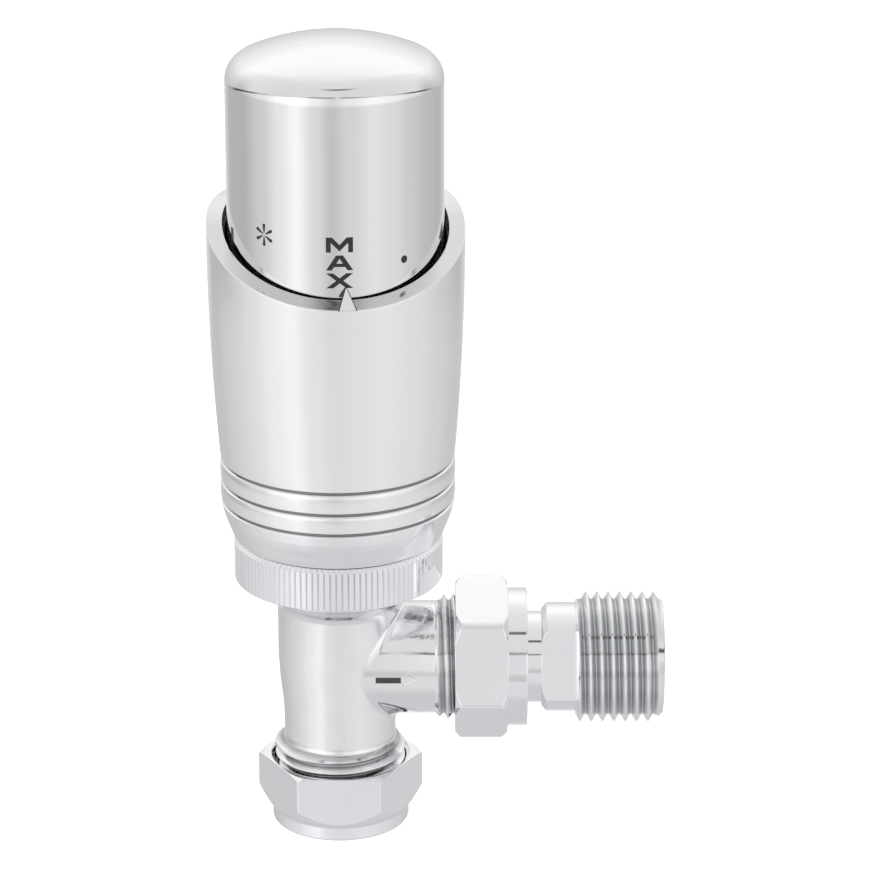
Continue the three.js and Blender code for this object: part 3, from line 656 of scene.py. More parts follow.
class Nodes:
    """A small helper that adds and joins the nodes of one shader."""

    def __init__(self, tree: bpy.types.NodeTree) -> None:
        """Starts with an empty tree."""
        self.tree = tree
        tree.nodes.clear()

    def add(self, kind: str, **settings: object) -> bpy.types.Node:
        """Adds a node.

        Args:
            kind: The node's type name.
            settings: Its properties by name.

        Returns:
            The node.
        """
        node = self.tree.nodes.new(kind)
        for name, value in settings.items():
            setattr(node, name, value)
        return node

    def link(self, source: bpy.types.NodeSocket, target: bpy.types.NodeSocket) -> None:
        """Joins an output to an input."""
        self.tree.links.new(source, target)

    def feed(self, value: object, socket: bpy.types.NodeSocket) -> None:
        """Gives an input its value.

        Args:
            value: A socket, a number, or a colour of three numbers.
            socket: The input.
        """
        if isinstance(value, bpy.types.NodeSocket):
            self.link(value, socket)
        else:
            socket.default_value = (*value, 1.0) if isinstance(value, tuple) else float(value)

    def math(self, operation: str, first: object, second: object = 0.0) -> bpy.types.NodeSocket:
        """Adds a math node.

        Args:
            operation: The operation's name.
            first: A socket or a number.
            second: A socket or a number.

        Returns:
            The result's socket.
        """
        node = self.add("ShaderNodeMath", operation=operation)
        self.feed(first, node.inputs[0])
        self.feed(second, node.inputs[1])
        return node.outputs[0]

    def product(self, first: object, *others: object) -> bpy.types.NodeSocket:
        """Multiplies sockets and numbers.

        Args:
            first: A socket or a number.
            others: More of them, at least one.

        Returns:
            The product's socket.
        """
        for other in others:
            first = self.math("MULTIPLY", first, other)
        return first

    def band(
        self, value: bpy.types.NodeSocket, middle: float, full: float, end: float
    ) -> bpy.types.NodeSocket:
        """A soft band round a value.

        Args:
            value: The value's socket.
            middle: Where the band's middle lies.
            full: Up to which distance from the middle the result is 1.
            end: From which distance it is 0.

        Returns:
            The result's socket.
        """
        away = self.math("ABSOLUTE", self.math("SUBTRACT", value, middle))
        return self.between(away, full, end, 1, 0)

    def between(
        self, value: bpy.types.NodeSocket, low: float, high: float, to_low: float, to_high: float
    ) -> bpy.types.NodeSocket:
        """Maps a value smoothly from one range to another.

        Args:
            value: The value's socket.
            low: Where the range begins.
            high: Where it ends.
            to_low: The result at the beginning.
            to_high: The result at the end.

        Returns:
            The result's socket.
        """
        node = self.add("ShaderNodeMapRange", interpolation_type="SMOOTHSTEP")
        self.link(value, node.inputs["Value"])
        for name, number in (("From Min", low), ("From Max", high), ("To Min", to_low), ("To Max", to_high)):
            node.inputs[name].default_value = number
        return node.outputs["Result"]

    def between_straight(self, value: bpy.types.NodeSocket, low: float, high: float) -> bpy.types.NodeSocket:
        """Maps a range in a straight line to 0 to 1."""
        return self.math("DIVIDE", self.math("SUBTRACT", value, low), high - low)

    def ramp(self, value: bpy.types.NodeSocket, stops: Sequence[tuple[float, tuple]]) -> bpy.types.NodeSocket:
        """Adds a colour ramp.

        Args:
            value: Where to read the ramp, from 0 to 1.
            stops: Places and colours.

        Returns:
            The colour's socket.
        """
        node = self.add("ShaderNodeValToRGB")
        node.color_ramp.interpolation = "EASE"
        elements = node.color_ramp.elements
        while len(elements) < len(stops):
            elements.new(0.5)
        for element, (place, colour) in zip(elements, stops):
            element.position = place
            element.color = (*colour, 1.0)
        self.link(value, node.inputs[0])
        return node.outputs["Color"]

    def mix(
        self, share: object, first: object, second: object, blend: str = "MIX"
    ) -> bpy.types.NodeSocket:
        """Mixes two colours.

        Args:
            share: How much of the second colour.
            first: A socket or a colour.
            second: A socket or a colour.
            blend: The way of mixing.

        Returns:
            The colour's socket.
        """
        node = self.add("ShaderNodeMix", data_type="RGBA", blend_type=blend)
        for value, index in ((share, 0), (first, 6), (second, 7)):
            self.feed(value, node.inputs[index])
        return node.outputs[2]

    def split(self, place: bpy.types.NodeSocket) -> tuple[bpy.types.NodeSocket, ...]:
        """The x, y and z of a place."""
        parts = self.add("ShaderNodeSeparateXYZ")
        self.link(place, parts.inputs[0])
        return tuple(parts.outputs)

    def noise(self, place: bpy.types.NodeSocket, scale: float, detail: float) -> bpy.types.NodeSocket:
        """Adds a cloudy pattern.

        Args:
            place: Where the pattern is read.
            scale: How many blobs there are in a metre.
            detail: How many finer layers it has.

        Returns:
            A value round 0.5.
        """
        node = self.add("ShaderNodeTexNoise")
        node.inputs["Scale"].default_value = scale
        node.inputs["Detail"].default_value = detail
        self.link(place, node.inputs["Vector"])
        return node.outputs["Fac"]


@dataclass(frozen=True)
class Finish:
    """A surface with a wandering colour, a wandering roughness and a fine relief.

    Stretch is the pattern's scale along X, Y and Z: a small number draws it out along that
    axis. Depth is the relief's height in metres. The painted shade share is how much of the colour
    is left at the bottom of a marked groove, where painted shade is deepest. A rough patch is the forging's
    skin on top of the side arm.
    """

    name: str
    slot: str
    colour: tuple[float, float, float]
    second_colour: tuple[float, float, float]
    roughness: tuple[float, float]
    metallic: float = 0.0
    scale: float = 300.0
    stretch: tuple[float, float, float] = (1.0, 1.0, 1.0)
    relief_scale: float = 1500.0
    depth: float = 0.00001
    relief: float = 0.2
    painted_shade: float = 1.0
    rough_patch: bool = False

    def material(self) -> bpy.types.Material:
        """The finish's material, made once.

        Returns:
            The material.
        """
        known = bpy.data.materials.get(self.name)
        if known is not None:
            return known
        made = bpy.data.materials.new(self.name)
        made.use_nodes = True
        nodes = Nodes(made.node_tree)
        shader = nodes.add("ShaderNodeBsdfPrincipled")
        shader.inputs["Metallic"].default_value = self.metallic
        nodes.link(shader.outputs[0], nodes.add("ShaderNodeOutputMaterial").inputs["Surface"])
        place = nodes.add("ShaderNodeTexCoord").outputs["Object"]
        drawn = nodes.add("ShaderNodeMapping")
        drawn.inputs["Scale"].default_value = self.stretch
        nodes.link(place, drawn.inputs["Vector"])
        cloud = nodes.noise(drawn.outputs[0], self.scale, 4.0)
        base = nodes.mix(cloud, self.colour, self.second_colour)
        # Painted shade: the colour is darkened where the groove mark is high.
        if self.painted_shade < 1:
            mark = nodes.add("ShaderNodeAttribute", attribute_name="painted_shade").outputs["Fac"]
            deep = nodes.mix(nodes.between(mark, 0.2, 1.0, 0, 1), (1.0, 1.0, 1.0), (self.painted_shade,) * 3)
            base = nodes.mix(1.0, base, deep, "MULTIPLY")
        nodes.link(base, shader.inputs["Base Color"])
        nodes.link(nodes.between(cloud, 0.3, 0.7, *self.roughness), shader.inputs["Roughness"])
        bump = nodes.add("ShaderNodeBump")
        bump.inputs["Strength"].default_value = self.relief
        bump.inputs["Distance"].default_value = self.depth
        relief = nodes.noise(drawn.outputs[0], self.relief_scale, 3.0)
        if self.rough_patch:
            x, _, z = nodes.split(place)
            on_arm, on_top = nodes.between(x, 0.007, 0.0095, 0, 1), nodes.between(z, 0.031, 0.0345, 0, 1)
            skin = nodes.product(nodes.noise(place, 900.0, 6.0), nodes.product(on_arm, on_top), 9.0)
            relief = nodes.math("ADD", relief, skin)
        nodes.link(relief, bump.inputs["Height"])
        nodes.link(bump.outputs[0], shader.inputs["Normal"])
        return made


MIRROR_CHROME = Finish(
    "mirror_chrome", "chrome_knob", (0.90, 0.90, 0.90), (0.87, 0.875, 0.88), (0.035, 0.075),
    metallic=1.0, scale=120, stretch=(1, 1, 0.15), relief_scale=700, depth=2e-6, relief=0.15,
)
# A painted shade share below 1 darkens the bottoms of marked grooves with painted shade.
SLEEVE_CHROME = Finish(
    "sleeve_chrome", "chrome_sleeve", (0.955, 0.955, 0.965), (0.93, 0.93, 0.945), (0.10, 0.16),
    metallic=1.0, scale=160, stretch=(1, 1, 0.06), relief_scale=1800, depth=2e-6, relief=0.12, painted_shade=0.32,
)
NUT_CHROME = Finish(
    "nut_chrome", "chrome_nut", (0.93, 0.935, 0.945), (0.89, 0.90, 0.915), (0.05, 0.11),
    metallic=1.0, scale=200, relief_scale=500, depth=6e-6, relief=0.2, painted_shade=0.58,
)
FORGED_CHROME = Finish(
    "forged_chrome", "chrome_body", (0.93, 0.932, 0.94), (0.88, 0.885, 0.895), (0.07, 0.15),
    metallic=1.0, scale=220, relief_scale=260, depth=3e-5, relief=0.25, painted_shade=0.5, rough_patch=True,
)
BRASS = Finish(
    "machined_brass", "brass", (0.80, 0.60, 0.28), (0.70, 0.50, 0.22), (0.22, 0.38),
    metallic=1.0, scale=260, relief_scale=1400, depth=8e-6,
)
STEEL = Finish(
    "spring_steel", "steel", (0.60, 0.61, 0.62), (0.48, 0.49, 0.51), (0.2, 0.36),
    metallic=1.0, scale=400, relief_scale=2000, depth=5e-6,
)
CAPSULE_METAL = Finish(
    "drawn_capsule", "capsule_metal", (0.75, 0.76, 0.77), (0.66, 0.67, 0.69), (0.25, 0.4),
    metallic=1.0, scale=300, stretch=(1, 1, 0.08), relief_scale=1600, depth=6e-6,
)
RUBBER = Finish(
    "seal_rubber", "rubber", (0.018, 0.018, 0.019), (0.03, 0.03, 0.031), (0.6, 0.8),
    scale=500, relief_scale=2500, depth=2e-5, relief=0.4,
)
BLACK_PLASTIC = Finish(
    "black_grained_plastic", "black_plastic", (0.010, 0.010, 0.011), (0.022, 0.021, 0.020), (0.38, 0.62),
    scale=1500, relief_scale=1600, depth=8e-5, relief=0.9,
)
WHITE_PLASTIC = Finish(
    "white_moulded_plastic", "white_plastic", (0.76, 0.76, 0.73), (0.70, 0.70, 0.68), (0.38, 0.52),
    scale=180, relief_scale=1500, depth=1e-5, relief=0.25,
)
# Near-black metal for the flow arrow's bar: a painted dark reflection.
PAINTED_DARK_REFLECTION = Finish(
    "painted_dark_reflection", "chrome_body", (0.05, 0.05, 0.05), (0.16, 0.155, 0.15), (0.25, 0.5),
    metallic=1.0, scale=1500, relief_scale=1500, depth=4e-5, relief=0.6,
)
DIAL_BLACK = Finish(
    "dial_black", "chrome_knob", (0.006, 0.006, 0.006), (0.02, 0.018, 0.015), (0.3, 0.5),
    scale=900, relief_scale=2500, depth=1e-5, relief=0.3,
)


def finish_piece(
    piece: bpy.types.Object, body: str, finish: Finish, replaces: Sequence[str] = ()
) -> bpy.types.Object:
    """Gives a piece its finish and the body that it moves with, and reports it.

    Args:
        piece: The object.
        body: The frame's body that it rides on.
        finish: Its surface.
        replaces: The frame's nodes that it stands for.

    Returns:
        The same object.
    """
    piece.data.materials.clear()
    piece.data.materials.append(finish.material())
    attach(piece, body)
    if replaces:
        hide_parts(*replaces)
    LOG.info("%s: %d faces, %s, rides on %s", piece.name, len(piece.data.polygons), finish.name, body)
    return piece


# ---- Valve body -------------------------------------------------------------------------------


@dataclass
class ValveBody:
    """The plated forging: pipe socket, barrel, head flange and side arm."""

    mouth: float = 5.6
    thread_end: float = 14.0
    neck: float = 8.95
    shoulder: float = 21.7
    barrel: float = 9.75
    barrel_start: float = 28.5
    barrel_top: float = 36.9
    flange_bottom: float = 41.0
    flange_top: float = 44.6
    arm: float = 9.05
    arm_thread_start: float = 15.6
    arm_end: float = 24.6
    crotch: tuple[float, float, float] = (0.7, 3.4, 1.6)
    pipe_hole: float = 7.65
    columns: int = 144

    def barrel_radius(self, height: Number) -> Number:
        """The barrel's radius at a height: neck below, a smooth rise, then the full barrel."""
        return np.interp(
            height,
            [self.thread_end, 17.5, 19.5, self.shoulder, 24.5, self.barrel_start, self.barrel_top,
             37.8, 38.9, 40.2, self.flange_bottom],
            [self.neck, self.neck, 9.02, 9.2, 9.5, self.barrel, self.barrel, 10.05, 10.9, 12.6, 14.0],
        )

    def stem(self) -> bpy.types.Object:
        """The upright part: threads below and on the flange, and the barrel between them.

        Returns:
            A closed solid.
        """
        turn = angles(self.columns)
        barrel = [
            Corner(self.barrel_radius(z) + (0.05 if z > self.shoulder else 0.0), z)
            for z in (*np.linspace(self.thread_end + 0.35, self.shoulder, 9), self.shoulder + 0.05,
                      *np.linspace(self.shoulder + 0.5, self.barrel_start, 10),
                      *np.linspace(self.barrel_top, self.flange_bottom - 0.1, 14))
        ]
        corners = [
            Corner(0, self.mouth),
            Corner(PIPE_THREAD.root, self.mouth, 0.1),
            *PIPE_THREAD.rows(self.mouth + 0.1, self.thread_end, turn, (0.9, 0.9)),
            *barrel,
            *HEAD_THREAD.rows(self.flange_bottom, self.flange_top - 0.1, turn, (0.35, 0.7)),
            Corner(HEAD_THREAD.root - 0.2, self.flange_top, 0.1),
            Corner(0, self.flange_top),
        ]
        return turned("valve_body_plated", corners, False, turn)

    def side_arm(self) -> bpy.types.Object:
        """The side arm with a fillet where it grows out of the barrel.

        A ball rolls in the corner between the arm and the barrel. Its radius is small on top of
        the arm, large at the arm's sides and middling below. For each angle round the arm, its
        centre lies one ball's radius outside both cylinders, and the fillet is the arc from the
        point where it touches the barrel to the one where it touches the arm.

        Returns:
            A closed solid that reaches into the barrel.
        """
        turn = angles(self.columns)
        up, side = -np.cos(turn), np.sin(turn)
        top, middle, below = self.crotch
        ball = middle + (np.where(up > 0, top, below) - middle) * np.abs(up) ** 1.5
        reach = self.arm + ball
        centre_z = ARM_HEIGHT + reach * up
        centre_y = reach * side
        barrel = self.barrel_radius(centre_z)
        centre_x = np.sqrt(np.maximum((barrel + ball) ** 2 - centre_y**2, 0.5))
        centre = np.stack([centre_x, centre_y, centre_z], axis=-1)
        level = np.hypot(centre_x, centre_y)
        to_barrel = -np.stack([centre_x / level, centre_y / level, np.zeros_like(level)], axis=-1)
        to_arm = -np.stack([np.zeros_like(up), side, up], axis=-1)
        gap = np.arccos(np.clip((to_barrel * to_arm).sum(-1), -1, 1))[None, :, None]
        share = np.linspace(0, 1, 9)[:, None, None]
        arc = (np.sin((1 - share) * gap) * to_barrel + np.sin(share * gap) * to_arm) / np.sin(gap)
        fillet = centre + ball[:, None] * arc
        heart = np.array([2.0, 0.0, ARM_HEIGHT])
        inside = heart + (fillet[0] - heart) * np.array([0.6, 0.8, 0.8])
        pole = np.broadcast_to(heart, inside.shape)
        outer = rounded(
            [
                Corner(self.arm, self.arm_thread_start - 0.6),
                *ARM_THREAD.rows(self.arm_thread_start - 0.3, self.arm_end - 0.1, turn, (1.1, 0.9)),
                Corner(ARM_THREAD.root - 0.2, self.arm_end, 0.1),
                Corner(0, self.arm_end),
            ],
            False,
            len(turn),
        )
        grid = np.concatenate([pole[None], inside[None], fillet, swept(outer, turn, Axis.ARM)])
        return grid_object("side_arm", grid, closed=False)

    def passages(self) -> list[bpy.types.Object]:
        """The solids that are cut away: pipe socket and water way, chamber, and the arm's bore.

        Returns:
            Three closed solids.
        """
        seat_top, floor = 23.9, 23.2
        socket = turned("socket", outline(
            (0, self.mouth - 1), (9.35, self.mouth - 1), (9.35, self.mouth),
            (self.pipe_hole, self.mouth + 3.3), (self.pipe_hole, 19.5, 0.2), (5.6, 19.9, 0.2),
            (5.4, 20.6, 0.2), (5.4, seat_top + 1), (0, seat_top + 1),
        ), False)
        chamber = turned("chamber", outline(
            (0, seat_top), (6.4, seat_top, 0.1), (6.4, floor, 0.1), (7.6, floor, 0.3), (7.6, 35.5, 0.1),
            (8.6, 35.5, 0.1), (8.6, 41.6, 0.1), (10.7, 41.6, 0.1), (10.7, self.flange_top + 1),
            (0, self.flange_top + 1),
        ), False)
        bore = turned("bore", bar_corners(6.0, 6.9, self.arm_end + 1, 0.0), False, 96, Axis.ARM)
        return [socket, chamber, bore]

    def flow_arrow(self, name: str, outline: Array) -> bpy.types.Object:
        """A part of the raised arrow on the front of the arm, pointing to the radiator.

        Args:
            name: The object's name.
            outline: Its outline, with the distance along the arm second.

        Returns:
            A closed solid that is sunk into the arm and stands a little proud of it.
        """
        place = Wrap(Axis.ARM, self.arm - 0.8, self.arm + 0.22, 271.5, 0.0, 0.3)
        return place.lay(name, flat_shape(name, [outline]))

    @staticmethod
    def arrow_bar() -> Array:
        """The arrow's straight bar."""
        return np.array([[0.42, 5.9], [0.42, 9.9], [-0.42, 9.9], [-0.42, 5.9]])

    @staticmethod
    def arrow_head() -> Array:
        """The arrow's head, an open angle."""
        return np.array([
            [1.35, 10.4], [1.05, 10.1], [-0.2, 12.4], [-1.05, 10.9], [-1.35, 11.1], [-0.1, 13.2],
        ])

    @staticmethod
    def pit(x: float, z: float, radius: float) -> bpy.types.Object:
        """A small ball that leaves a casting pit in the front of the barrel.

        Args:
            x: The pit's place across the front.
            z: Its height.
            radius: The ball's radius.

        Returns:
            A closed solid.
        """
        arc = np.linspace(-math.pi / 2, math.pi / 2, 7)
        ball = turned("pit", [Corner(radius * math.cos(a), radius * math.sin(a)) for a in arc], False, 12)
        depth = math.sqrt(9.15**2 - x**2) + 0.02
        write_points(ball.data, read_points(ball.data) + np.array([x, -depth, z]) * MM)
        return ball

    def build(self) -> None:
        """Makes the body in one piece."""
        body = self.stem()
        combine(body, self.side_arm(), Operation.ADD)
        pits = [self.pit(0.1, 19.9, 0.2), self.pit(0.7, 17.0, 0.28), self.pit(0.2, 15.1, 0.18)]
        for hollow in (*self.passages(), *pits):
            combine(body, hollow, Operation.CUT)
        # Painted shade in the thread valleys of the pipe socket and of the side arm.
        painted_shade(body, Axis.UPRIGHT, (PIPE_THREAD.root, PIPE_THREAD.crest), (self.mouth, self.thread_end + 0.2))
        painted_shade(body, Axis.ARM, (ARM_THREAD.root, ARM_THREAD.crest), (self.arm_thread_start, self.arm_end))
        finish_piece(body, "valve", FORGED_CHROME, ["valve_body"])
        finish_piece(self.flow_arrow("flow_arrow_head", self.arrow_head()), "valve", FORGED_CHROME)
        # The arrow's bar carries the near-black painted reflection.
        finish_piece(self.flow_arrow("flow_arrow_bar", self.arrow_bar()), "valve", PAINTED_DARK_REFLECTION)


# ---- Pipe and union joints --------------------------------------------------------------------


@dataclass
class PipeJoint:
    """The compression nut and its olive."""

    across_flats: float = 23.0
    collar: float = 11.0
    collar_top: float = 2.3
    cone_top: float = 5.2
    mouth: float = 11.2
    pipe_hole: float = 7.65
    thread_bore: float = 10.65

    def nut(self) -> bpy.types.Object:
        """The hexagon nut with a round collar below.

        The outline has one column for each angle: below the hexagon a cone cuts off its
        corners, so the cone ends higher up where the hexagon reaches further out.

        Returns:
            A closed ring.
        """
        top = Extent.of("compression_nut").top
        columns = hexagon_angles(0)
        hexagon = hexagon_radius(self.across_flats, 0, columns, 0.05)
        corner = self.across_flats / math.sqrt(3)
        rise = (self.cone_top - self.collar_top) / (corner - self.collar)
        cone_end = self.collar_top + (hexagon - self.collar) * rise
        top_cone = top - 0.4 * np.clip((hexagon - corner + 1.1) / 1.1, 0.08, 1)
        return turned("compression_nut_plated", outline(
            (self.pipe_hole, 0, 0.25), (self.collar, 0, 0.4), (self.collar, self.collar_top, 0.2),
            (hexagon, cone_end, 0.25), (hexagon, top_cone, 0.12),
            (np.minimum(hexagon - 0.12, corner - 1.1), top, 0.1), (self.mouth, top, 0.1),
            (self.thread_bore, top - 0.6, 0.1), (self.thread_bore, 4.8, 0.1), (9.35, 4.4, 0.1),
            (self.pipe_hole, 2.6, 0.2),
        ), True, columns)

    def olive(self) -> bpy.types.Object:
        """The brass ring that grips the pipe.

        Returns:
            A closed ring.
        """
        return turned("compression_olive_brass", outline(
            (7.6, 3.3, 0.05), (7.95, 3.3, 0.1), (8.7, 4.6, 0.5), (8.7, 6.0, 0.5), (7.9, 7.9, 0.1),
            (7.6, 7.9, 0.05),
        ), True)

    def build(self) -> None:
        """Makes both pieces."""
        finish_piece(self.nut(), "pipe_coupling", NUT_CHROME, ["compression_nut"])
        finish_piece(self.olive(), "valve", BRASS, ["compression_olive"])


@dataclass
class UnionJoint:
    """The union nut, the tailpiece, the seal between tail and arm, and the snap ring."""

    across_flats: float = 23.0
    turn: float = -14.7
    start: float = 18.5
    hex_end: float = 26.9
    end: float = 30.0
    collar: float = 11.1
    tail_start: float = 26.0
    neck: float = 7.35
    shoulder: float = 32.3
    tail_body: float = 8.75
    flats: float = 13.3
    flats_tilt: float = -10.5
    thread_start: float = 37.7
    bore: float = 5.6

    def nut(self) -> bpy.types.Object:
        """The hexagon nut with a round collar, its corners cut by a cone at both ends.

        Returns:
            A closed ring.
        """
        columns = hexagon_angles(self.turn)
        hexagon = hexagon_radius(self.across_flats, self.turn, columns)
        corner = self.across_flats / math.sqrt(3)
        cut, cone = 1.25, 1.0
        share = np.clip((hexagon - (corner - cut)) / cut, 0.06, 1)
        face = np.minimum(hexagon - 0.08, corner - cut)
        return turned("union_nut_plated", outline(
            (10.32, self.start, 0.2), (face, self.start, 0.2),
            (hexagon, self.start + cone * share, 0.25), (hexagon, self.hex_end - cone * share, 0.25),
            (face, self.hex_end, 0.2), (self.collar, self.hex_end + 0.02, 0.05),
            (self.collar, self.end, 0.3), (7.75, self.end, 0.25), (7.75, 28.4, 0.1), (9.5, 28.4, 0.1),
            (9.5, 25.2, 0.1), (10.32, 25.2, 0.1),
        ), True, columns, Axis.ARM)

    def tailpiece(self) -> bpy.types.Object:
        """The tailpiece: plain neck, round body with two spanner flats, and the male thread.

        The flats are part of the surface: on the body, the radius is the smaller of the round
        one and the distance to a flat, which is half the width over flats divided by the cosine
        of the angle from the flat's middle.

        Returns:
            A closed ring.
        """
        end = Extent.of("tailpiece").high.x
        near_flats = np.degrees(np.arccos(self.flats / 2 / self.tail_body))
        edges = [90 + self.flats_tilt + s * near_flats + h for s in (-1, 1) for h in (0, 180)]
        columns = np.sort(np.concatenate([angles(150), np.radians(np.mod(edges, 360))]))
        middle = np.abs(np.sin(columns - math.radians(self.flats_tilt)))
        body = np.minimum(self.tail_body, self.flats / 2 / np.maximum(middle, 0.1))
        chamfer = np.minimum(body, self.tail_body - 0.9)
        chamfer_end = self.shoulder + 0.8 * np.clip((body - self.tail_body + 0.9) / 0.9, 0.05, 1)
        corners = [
            *outline(
                (self.bore, self.tail_start, 0.2), (self.neck, self.tail_start, 0.15),
                (self.neck, 26.95, 0.05), (6.65, 26.95, 0.05), (6.65, 28.25, 0.05),
                (self.neck, 28.25, 0.05), (self.neck, self.shoulder, 0.15),
                (np.minimum(chamfer, body - 0.03), self.shoulder, 0.12), (body, chamfer_end, 0.15),
                (body, self.thread_start - 0.05, 0.1),
            ),
            *PIPE_THREAD.rows(self.thread_start, end - 0.15, columns, (0.45, 1.3)),
            Corner(PIPE_THREAD.root - 0.35, end, 0.15),
            Corner(self.bore, end, 0.35),
        ]
        return turned("tailpiece_plated", corners, True, columns, Axis.ARM)

    def build(self) -> None:
        """Makes the four pieces."""
        finish_piece(self.nut(), "union_coupling", NUT_CHROME, ["union_nut"])
        tail = self.tailpiece()
        # Painted shade in the valleys of the tailpiece's thread.
        stretch = (self.thread_start + 0.1, Extent.of("tailpiece").high.x - 0.8)
        painted_shade(tail, Axis.ARM, (PIPE_THREAD.root, PIPE_THREAD.crest), stretch)
        finish_piece(tail, "valve", NUT_CHROME, ["tailpiece"])
        seal = turned("union_seal_washer", ring_corners(6, 8.6, 24.9, 25.7, 0.15), True, 96, Axis.ARM)
        finish_piece(seal, "valve", RUBBER, ["union_seal"])
        snap = turned("union_snap_wire", ring_corners(6.8, 9.1, 27.1, 28.1, 0.4), True, 96, Axis.ARM)
        finish_piece(snap, "valve", STEEL, ["union_snap_ring"])


# ---- Insert and spindle -----------------------------------------------------------------------


@dataclass
class ValveInsert:
    """The brass bonnet in the top of the body, with its seals, gland nut and spring."""

    hex_flats: float = 15.5
    gland_flats: float = 9.0
    spring_keep: float = 0.66

    def insert(self) -> bpy.types.Object:
        """The bonnet: thread, seal groove, flange and spanner hexagon.

        Returns:
            A closed ring.
        """
        columns = hexagon_angles(0)
        hexagon = hexagon_radius(self.hex_flats, 0, columns)
        return turned("valve_insert_brass", outline(
            (1.9, 35.0, 0.15), (7.0, 35.0, 0.3), (7.0, 35.7, 0.1), (8.25, 36.3, 0.15),
            (8.25, 38.97, 0.08), (7.0, 38.97, 0.15), (7.0, 40.63, 0.15), (8.25, 40.63, 0.08),
            (8.25, 41.9, 0.1), (10.35, 41.9, 0.15), (10.35, 44.3, 0.25), (hexagon, 44.3, 0.1),
            (hexagon, 48.9, 0.1), (np.minimum(hexagon - 0.05, 8.3), 49.2, 0.1), (4.4, 49.2, 0.2),
            (4.4, 37.0, 0.2), (1.9, 37.0, 0.15),
        ), True, columns)

    def gland(self) -> bpy.types.Object:
        """The gland nut: spigot, hexagon, bore and the seal's chamber.

        Returns:
            A closed ring.
        """
        columns = hexagon_angles(0)
        hexagon = hexagon_radius(self.gland_flats, 0, columns, 0.15)
        return turned("gland_nut_brass", outline(
            (1.75, 45.6, 0.1), (4.05, 45.6, 0.3), (4.05, 49.5, 0.05), (hexagon, 49.5, 0.1),
            (hexagon, 51.5, 0.1), (np.minimum(hexagon - 0.05, 4.7), 51.8, 0.1), (1.75, 51.8, 0.15),
            (1.75, 48.2, 0.05), (3.05, 48.2, 0.1), (3.05, 46.8, 0.1), (1.75, 46.8, 0.05),
        ), True, columns)

    @staticmethod
    def seal_ring(name: str, radius: float, section: float, height: float) -> bpy.types.Object:
        """A round rubber ring.

        Its section is a circle of points round a circle.

        Args:
            name: The object's name.
            radius: The ring's radius at the middle of the rubber.
            section: The rubber's radius.
            height: The ring's height.

        Returns:
            A closed ring.
        """
        around = angles(20)[:-1]
        places = zip(radius + section * np.cos(around), height + section * np.sin(around))
        return turned(name, outline(*places), True, 72)

    def build(self) -> None:
        """Makes the five pieces."""
        finish_piece(self.insert(), "valve", BRASS, ["valve_insert"])
        finish_piece(self.gland(), "valve", BRASS, ["gland_nut"])
        finish_piece(self.seal_ring("insert_seal", 7.8, 0.68, 39.8), "valve", RUBBER, ["insert_o_ring"])
        finish_piece(self.seal_ring("gland_seal", 2.3, 0.55, 47.5), "valve", RUBBER, ["gland_o_ring"])
        coil = spring_object("return_spring_coil", 3.1, 0.4, 37.3, 44.4, 5)
        finish_piece(coil, "valve", STEEL, ["return_spring"])
        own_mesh(coil)


@dataclass
class Spindle:
    """The pin, its clip, the disc holder and the rubber disc."""

    disc: float = 6.2

    def build(self) -> None:
        """Makes the four pieces."""
        pin = turned("spindle_pin_steel", outline(
            (0, 29.7), (1.5, 29.7, 0.2), (1.5, 44.55, 0.05), (1.05, 44.55, 0.05), (1.05, 45.45, 0.05),
            (1.5, 45.45, 0.05), (1.5, 57.2, 0.3), (0.9, 57.6, 0.3), (0, 57.6),
        ), False, 48)
        finish_piece(pin, "spindle", STEEL, ["spindle_pin"])
        clip = turned("spindle_clip_steel", ring_corners(1.2, 3.9, 44.75, 45.25, 0.12), True, 64)
        finish_piece(clip, "spindle", STEEL, ["spindle_clip"])
        disc = Extent.of("valve_disc")
        plate, rim = disc.top + 0.3, self.disc + 0.3
        holder = turned("disc_holder_brass", outline(
            (0, plate), (rim, plate, 0.1), (rim, disc.bottom + 0.7, 0.1),
            (rim + 0.5, disc.bottom + 0.7, 0.15), (rim + 0.5, plate + 1, 0.35), (3, plate + 1, 0.3),
            (3, plate + 4, 0.2), (1.65, plate + 4, 0.1), (1.65, 29.55, 0.1), (0, 29.55),
        ), False)
        finish_piece(holder, "spindle", BRASS, ["disc_holder"])
        rubber = turned("valve_disc_rubber", bar_corners(self.disc, disc.bottom, disc.top, 0.35), False)
        finish_piece(rubber, "spindle", RUBBER, ["valve_disc"])


# ---- Head: fixed pieces -----------------------------------------------------------------------


@dataclass
class HeadRing:
    """The knurled ring nut under the head."""

    flutes: int = 110
    depth: float = 0.3
    valley: float = 0.16
    chamfer: float = 0.7
    recess: float = 15.0
    lip: float = 13.3

    def build(self) -> None:
        """Makes the ring.

        The outer radius drops once for each flute into a narrow valley with straight sides, and
        stays even on the lands between the valleys.
        """
        box = Extent.of("knurled_ring_nut")
        flute = np.array([0, 0.5 - self.valley, 0.5, 0.5 + self.valley])
        dip = np.append(np.tile([0, 0, self.depth, 0], self.flutes), 0)
        columns = np.append(flute[None, :] + np.arange(self.flutes)[:, None], self.flutes)
        land = box.radius - dip
        rim = box.radius - self.chamfer
        ring = turned("knurled_ring_plated", outline(
            (15.15, box.bottom, 0.1), (land - 0.1, box.bottom, 0.05), (land, box.bottom + 0.15, 0.05),
            (land, box.top - self.chamfer, 0.05), (rim, box.top, 0.12), (self.recess, box.top, 0.12),
            (self.recess, 48.4, 0.1), (self.lip, 48.4, 0.1), (self.lip, 46.6, 0.1), (15.15, 46.6, 0.1),
        ), True, columns * 2 * math.pi / self.flutes)
        # Painted shade at the bottoms of the flutes.
        painted_shade(ring, Axis.UPRIGHT, (box.radius - self.depth, box.radius), (box.bottom + 0.1, box.top - 0.6))
        finish_piece(ring, "head_ring", NUT_CHROME, ["knurled_ring_nut"])


